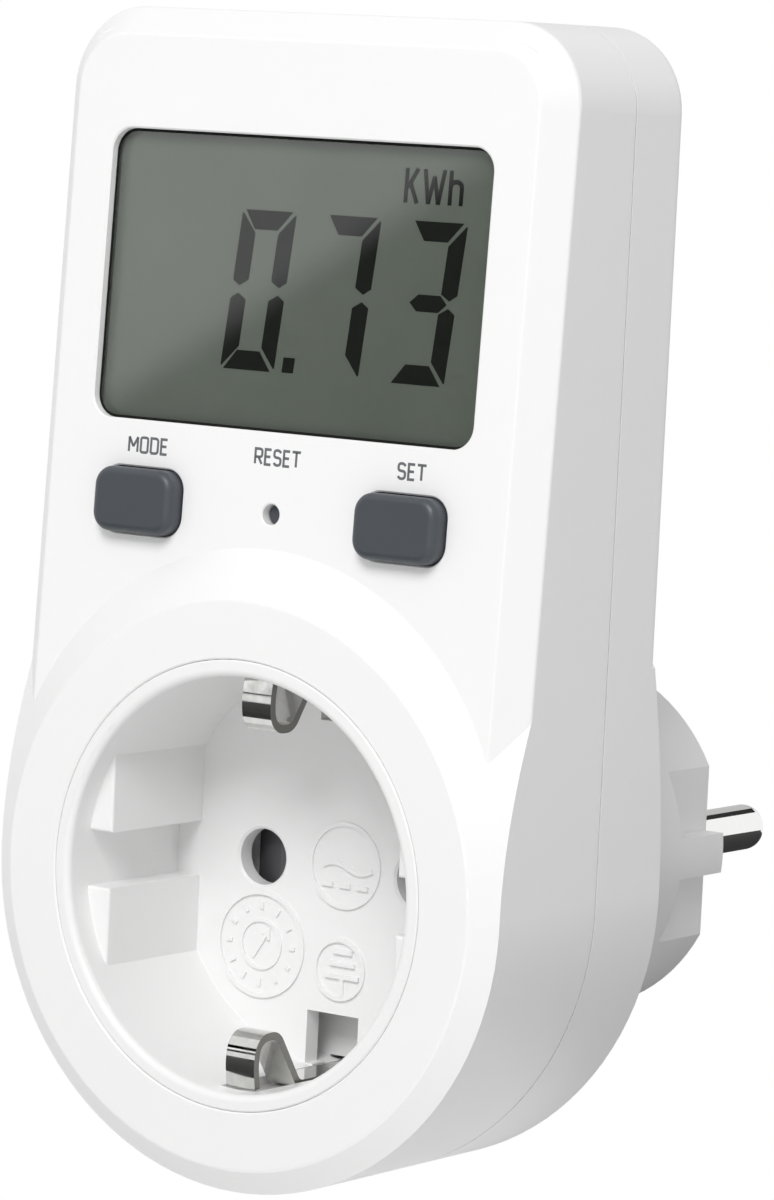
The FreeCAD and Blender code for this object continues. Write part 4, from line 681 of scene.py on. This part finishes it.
def make_symbols():
    """A ring with a wave over dashes, and the earth symbol in a ring.

    Each line stands a little above the one before, so no two tops lie in one plane.
    """
    step = 2 * math.pi / (WAVE_POINTS - 1)
    wave = [(WAVE_LEFT + WAVE_STEP * i, WAVE_UP + WAVE_SWING * math.sin(step * i))
            for i in range(WAVE_POINTS)]
    lines = [ring_points(*SYMBOL_RING), ring_points(*EARTH_RING), wave]
    lines += [[(across, DASH_UP), (across + DASH_LONG, DASH_UP)] for across in DASHES]
    lines += [[(EARTH_MIDDLE - half, up), (EARTH_MIDDLE + half, up)] for half, up in EARTH_BARS]
    lines.append([(EARTH_MIDDLE, EARTH_TOP), (EARTH_MIDDLE, EARTH_LOW)])
    mesh = bmesh.new()
    for i, points in enumerate(lines):
        add_stroke(mesh, points, RIB_HALF, floor_relief, RIB_TALL + LAYER * i)
    finish_piece(mesh, "floor_marks", finishes["white_socket"], "case")


def make_mould_clock():
    """A mould's date clock: a ring with twelve ticks, and an arrow on a dial."""
    cx, cy, radius = CLOCK_RING
    mesh = bmesh.new()
    add_stroke(mesh, ring_points(cx, cy, radius), RIB_HALF, floor_relief, RIB_TALL)
    for i in range(TICKS):
        turn = math.radians(360 * i / TICKS)
        x, y = math.cos(turn), math.sin(turn)
        tick = [(cx + x * reach, cy + y * reach) for reach in (TICK_INNER, TICK_OUTER)]
        add_stroke(mesh, tick, FINE_HALF, floor_relief, FINE_TALL)
    add_stroke(mesh, ring_points(cx, cy, CLOCK_DIAL), FINE_HALF, floor_relief, FINE_TALL)
    shaft = [(cx - 0.9, cy - 1.4), (cx + 0.9, cy + 1.4)]
    add_stroke(mesh, shaft, FINE_HALF, floor_relief, SHAFT_TALL)
    head = [(cx + 0.1, cy + 1.2), (cx + 0.9, cy + 1.4), (cx + 0.95, cy + 0.5)]
    add_stroke(mesh, head, FINE_HALF, floor_relief, FINE_TALL)
    finish_piece(mesh, "mould_clock", finishes["white_socket"], "case")


make_figures()
make_lettering()
make_pane_edge_shade()
make_spring()
make_reset_tip()
make_symbols()
make_mould_clock()


# ---------------------------------------------------------------- studio
# metres; a pair is where a soft edge starts and ends
LOWEST = cad_box[0][2]
FLOOR_LEVEL = LOWEST - 0.045
FLOOR_HALF = 3.0
WORLD_LIGHT = 0.465

# a card seen only by mirror surfaces; its glowing window and strip are painted reflections
CARD_PLACE = -0.5
CARD_LEFT = -0.56
CARD_RIGHT = -0.2
CARD_FOOT = LOWEST - 0.044
CARD_TOP = 0.28
WINDOW_LIGHT = 1.42
WINDOW_FOOT = (0.048, 0.056)
WINDOW_HEAD = (0.135, 0.125)
SLANT_SLOPE = 0.62
SLANT_EDGE = (0.282, 0.294)
STRIP_FOOT = (-0.059, -0.051)
STRIP_HEAD = (0.039, 0.031)

BACKDROP_PLACE = 0.6
BACKDROP_TOP = 0.42
GREY_LIGHT = 0.55

CAMERA_LENS = 158.15
CAMERA_SENSOR = 36.0
CAMERA_NEAR = 0.01
CAMERA_PLACE = (0.297432, -0.457663, 0.077581)
CAMERA_RIGHT = (0.813194, 0.580039, 0.047637)
CAMERA_UP = (-0.096272, 0.053342, 0.993925)
CAMERA_BACK = (0.573977, -0.812838, 0.099219)


def white_to_eye(holder):
    """Output that is 1 for what the eye, metal and glass see, and 0 for diffuse light."""
    rays = add_node(holder, "ShaderNodeLightPath")
    seen = rays.outputs["Is Camera Ray"]
    for name in ("Is Glossy Ray", "Is Transmission Ray"):
        seen = combine(holder, "MAXIMUM", seen, rays.outputs[name])
    return seen


def white_glow(material, strength):
    """White light of a strength, which is a number or an output."""
    glow = add_node(material, "ShaderNodeEmission", Color=(1, 1, 1, 1))
    feed(material, strength, glow.inputs["Strength"])
    return glow.outputs["Emission"]


def flat(left, right, front, back, level):
    """Corners of a sheet that lies level."""
    return [(left, front, level), (right, front, level), (right, back, level), (left, back, level)]


def upright(left, right, low, high, place):
    """Corners of a sheet that stands along X."""
    return [(left, place, low), (right, place, low), (right, place, high), (left, place, high)]


def stage_sheet(name, corners, material):
    """Flat sheet of the studio."""
    mesh = bmesh.new()
    mesh.faces.new([mesh.verts.new(corner) for corner in corners])
    sheet = link_mesh(mesh, name, material)
    return sheet


def reflected_only(sheet):
    """Keep a sheet for mirror surfaces alone."""
    sheet.visible_camera = False
    sheet.visible_diffuse = False
    sheet.visible_shadow = False
    sheet.visible_transmission = False


def make_floor():
    """Pale floor that throws light up from below and shows plain white to the eye."""
    made, shader = new_material("stage_white")
    shader.inputs["Base Color"].default_value = (0.8, 0.8, 0.8, 1)
    shader.inputs["Roughness"].default_value = 0.6
    show(made, mix_shaders(made, white_to_eye(made), shader.outputs["BSDF"], white_glow(made, 1.0)))
    stage_sheet("floor", flat(-FLOOR_HALF, FLOOR_HALF, -FLOOR_HALF, FLOOR_HALF, FLOOR_LEVEL), made)


def make_world():
    """World that lights evenly and shows white to the eye."""
    world = bpy.data.worlds.new("studio")
    scene.world = world
    world.use_nodes = True
    back = world.node_tree.nodes["Background"]
    back.inputs["Color"].default_value = (1, 1, 1, 1)
    level = add_node(world, "ShaderNodeMapRange", To_Min=WORLD_LIGHT, To_Max=1.0)
    wire(world, white_to_eye(world), level.inputs["Value"])
    wire(world, level.outputs["Result"], back.inputs["Strength"])


def band(material, height, foot, head):
    """Output that climbs from 0 to 1 over the foot and falls back over the head."""
    return combine(
        material, "MULTIPLY", ramp(material, height, *foot), ramp(material, height, *head))


def make_window_card():
    """Dark card on the left, for mirror surfaces only, with a soft window over a strip of light: a glowing sheet,
    no lamp, that paints reflections into the display pane and the metal.
    """
    made = bare_material("window_card")
    split = add_node(made, "ShaderNodeSeparateXYZ")
    wire(made, object_place(made), split.inputs["Vector"])
    x, z = split.outputs["X"], split.outputs["Z"]
    slanted = combine(made, "SUBTRACT", z, combine(made, "MULTIPLY", x, SLANT_SLOPE))
    window = combine(
        made, "MULTIPLY", ramp(made, slanted, *SLANT_EDGE), band(made, z, WINDOW_FOOT, WINDOW_HEAD))
    window = combine(made, "MULTIPLY", window, WINDOW_LIGHT)
    strip = band(made, z, STRIP_FOOT, STRIP_HEAD)
    show(made, white_glow(made, combine(made, "ADD", window, strip)))
    corners = upright(CARD_LEFT, CARD_RIGHT, CARD_FOOT, CARD_TOP, CARD_PLACE)
    reflected_only(stage_sheet("window_card", corners, made))


def make_flags():
    """Dark flags below the plug, before the well and high at the back, and a grey card there. The flag below the
    plug keeps the floor's bounce off it; the other flags show only in mirror surfaces, and the grey card glows
    there as a painted reflection.
    """
    dark, shader = new_material("dark_flag")
    shader.inputs["Base Color"].default_value = (0.01, 0.01, 0.01, 1)
    shader.inputs["Roughness"].default_value = 0.9
    # grey card: glows and shows only in mirror surfaces, a painted reflection
    grey = bare_material("grey_card")
    show(grey, white_glow(grey, GREY_LIGHT))

    below_plug = flat(left=-0.15, right=0.2, front=0.0, back=0.185, level=LOWEST - 0.012)
    low_flag = stage_sheet("low_flag", below_plug, dark)
    reflected_only(low_flag)
    low_flag.visible_diffuse = True
    before_well = flat(left=-0.45, right=0.0, front=-0.499, back=-0.13, level=LOWEST - 0.04)
    reflected_only(stage_sheet("near_flag", before_well, dark))
    above = upright(left=-0.119, right=0.072, low=0.29, high=BACKDROP_TOP, place=BACKDROP_PLACE)
    reflected_only(stage_sheet("high_flag", above, dark))
    beside = upright(left=-0.6, right=-0.12, low=0.0, high=BACKDROP_TOP, place=BACKDROP_PLACE)
    reflected_only(stage_sheet("grey_card", beside, grey))


def area_light(name, place, target, size, power):
    """Square soft box at a place, aimed at a target."""
    data = bpy.data.lights.new(name, "AREA")
    data.shape = "SQUARE"
    data.size = size
    data.energy = power
    lamp = bpy.data.objects.new(name, data)
    scene.collection.objects.link(lamp)
    lamp.location = place
    lamp.rotation_euler = (Vector(target) - Vector(place)).to_track_quat("-Z", "Y").to_euler()
    return lamp


def make_lamps():
    """Key light in front and a rear light, which stays out of mirror surfaces."""
    area_light("key", place=(0.35, -1.02, 0.90), target=(0, -0.05, 0.03), size=0.55, power=11.7)
    rear = area_light(
        "rear", place=(-0.75, 1.1, 0.25), target=(0, -0.02, 0.03), size=0.6, power=4.7)
    rear.visible_glossy = False


def make_camera():
    """Camera at the photograph's place, from the fit to the part's own points."""
    data = bpy.data.cameras.new("camera")
    data.lens = CAMERA_LENS
    data.sensor_width = CAMERA_SENSOR
    data.sensor_fit = "AUTO"
    data.clip_start = CAMERA_NEAR
    camera = bpy.data.objects.new("camera", data)
    scene.collection.objects.link(camera)
    turned = Matrix((CAMERA_RIGHT, CAMERA_UP, CAMERA_BACK)).transposed().to_4x4()
    camera.matrix_world = Matrix.Translation(CAMERA_PLACE) @ turned
    scene.camera = camera


make_floor()
make_world()
make_window_card()
make_flags()
make_lamps()
make_camera()
scene.view_settings.view_transform = "Standard"
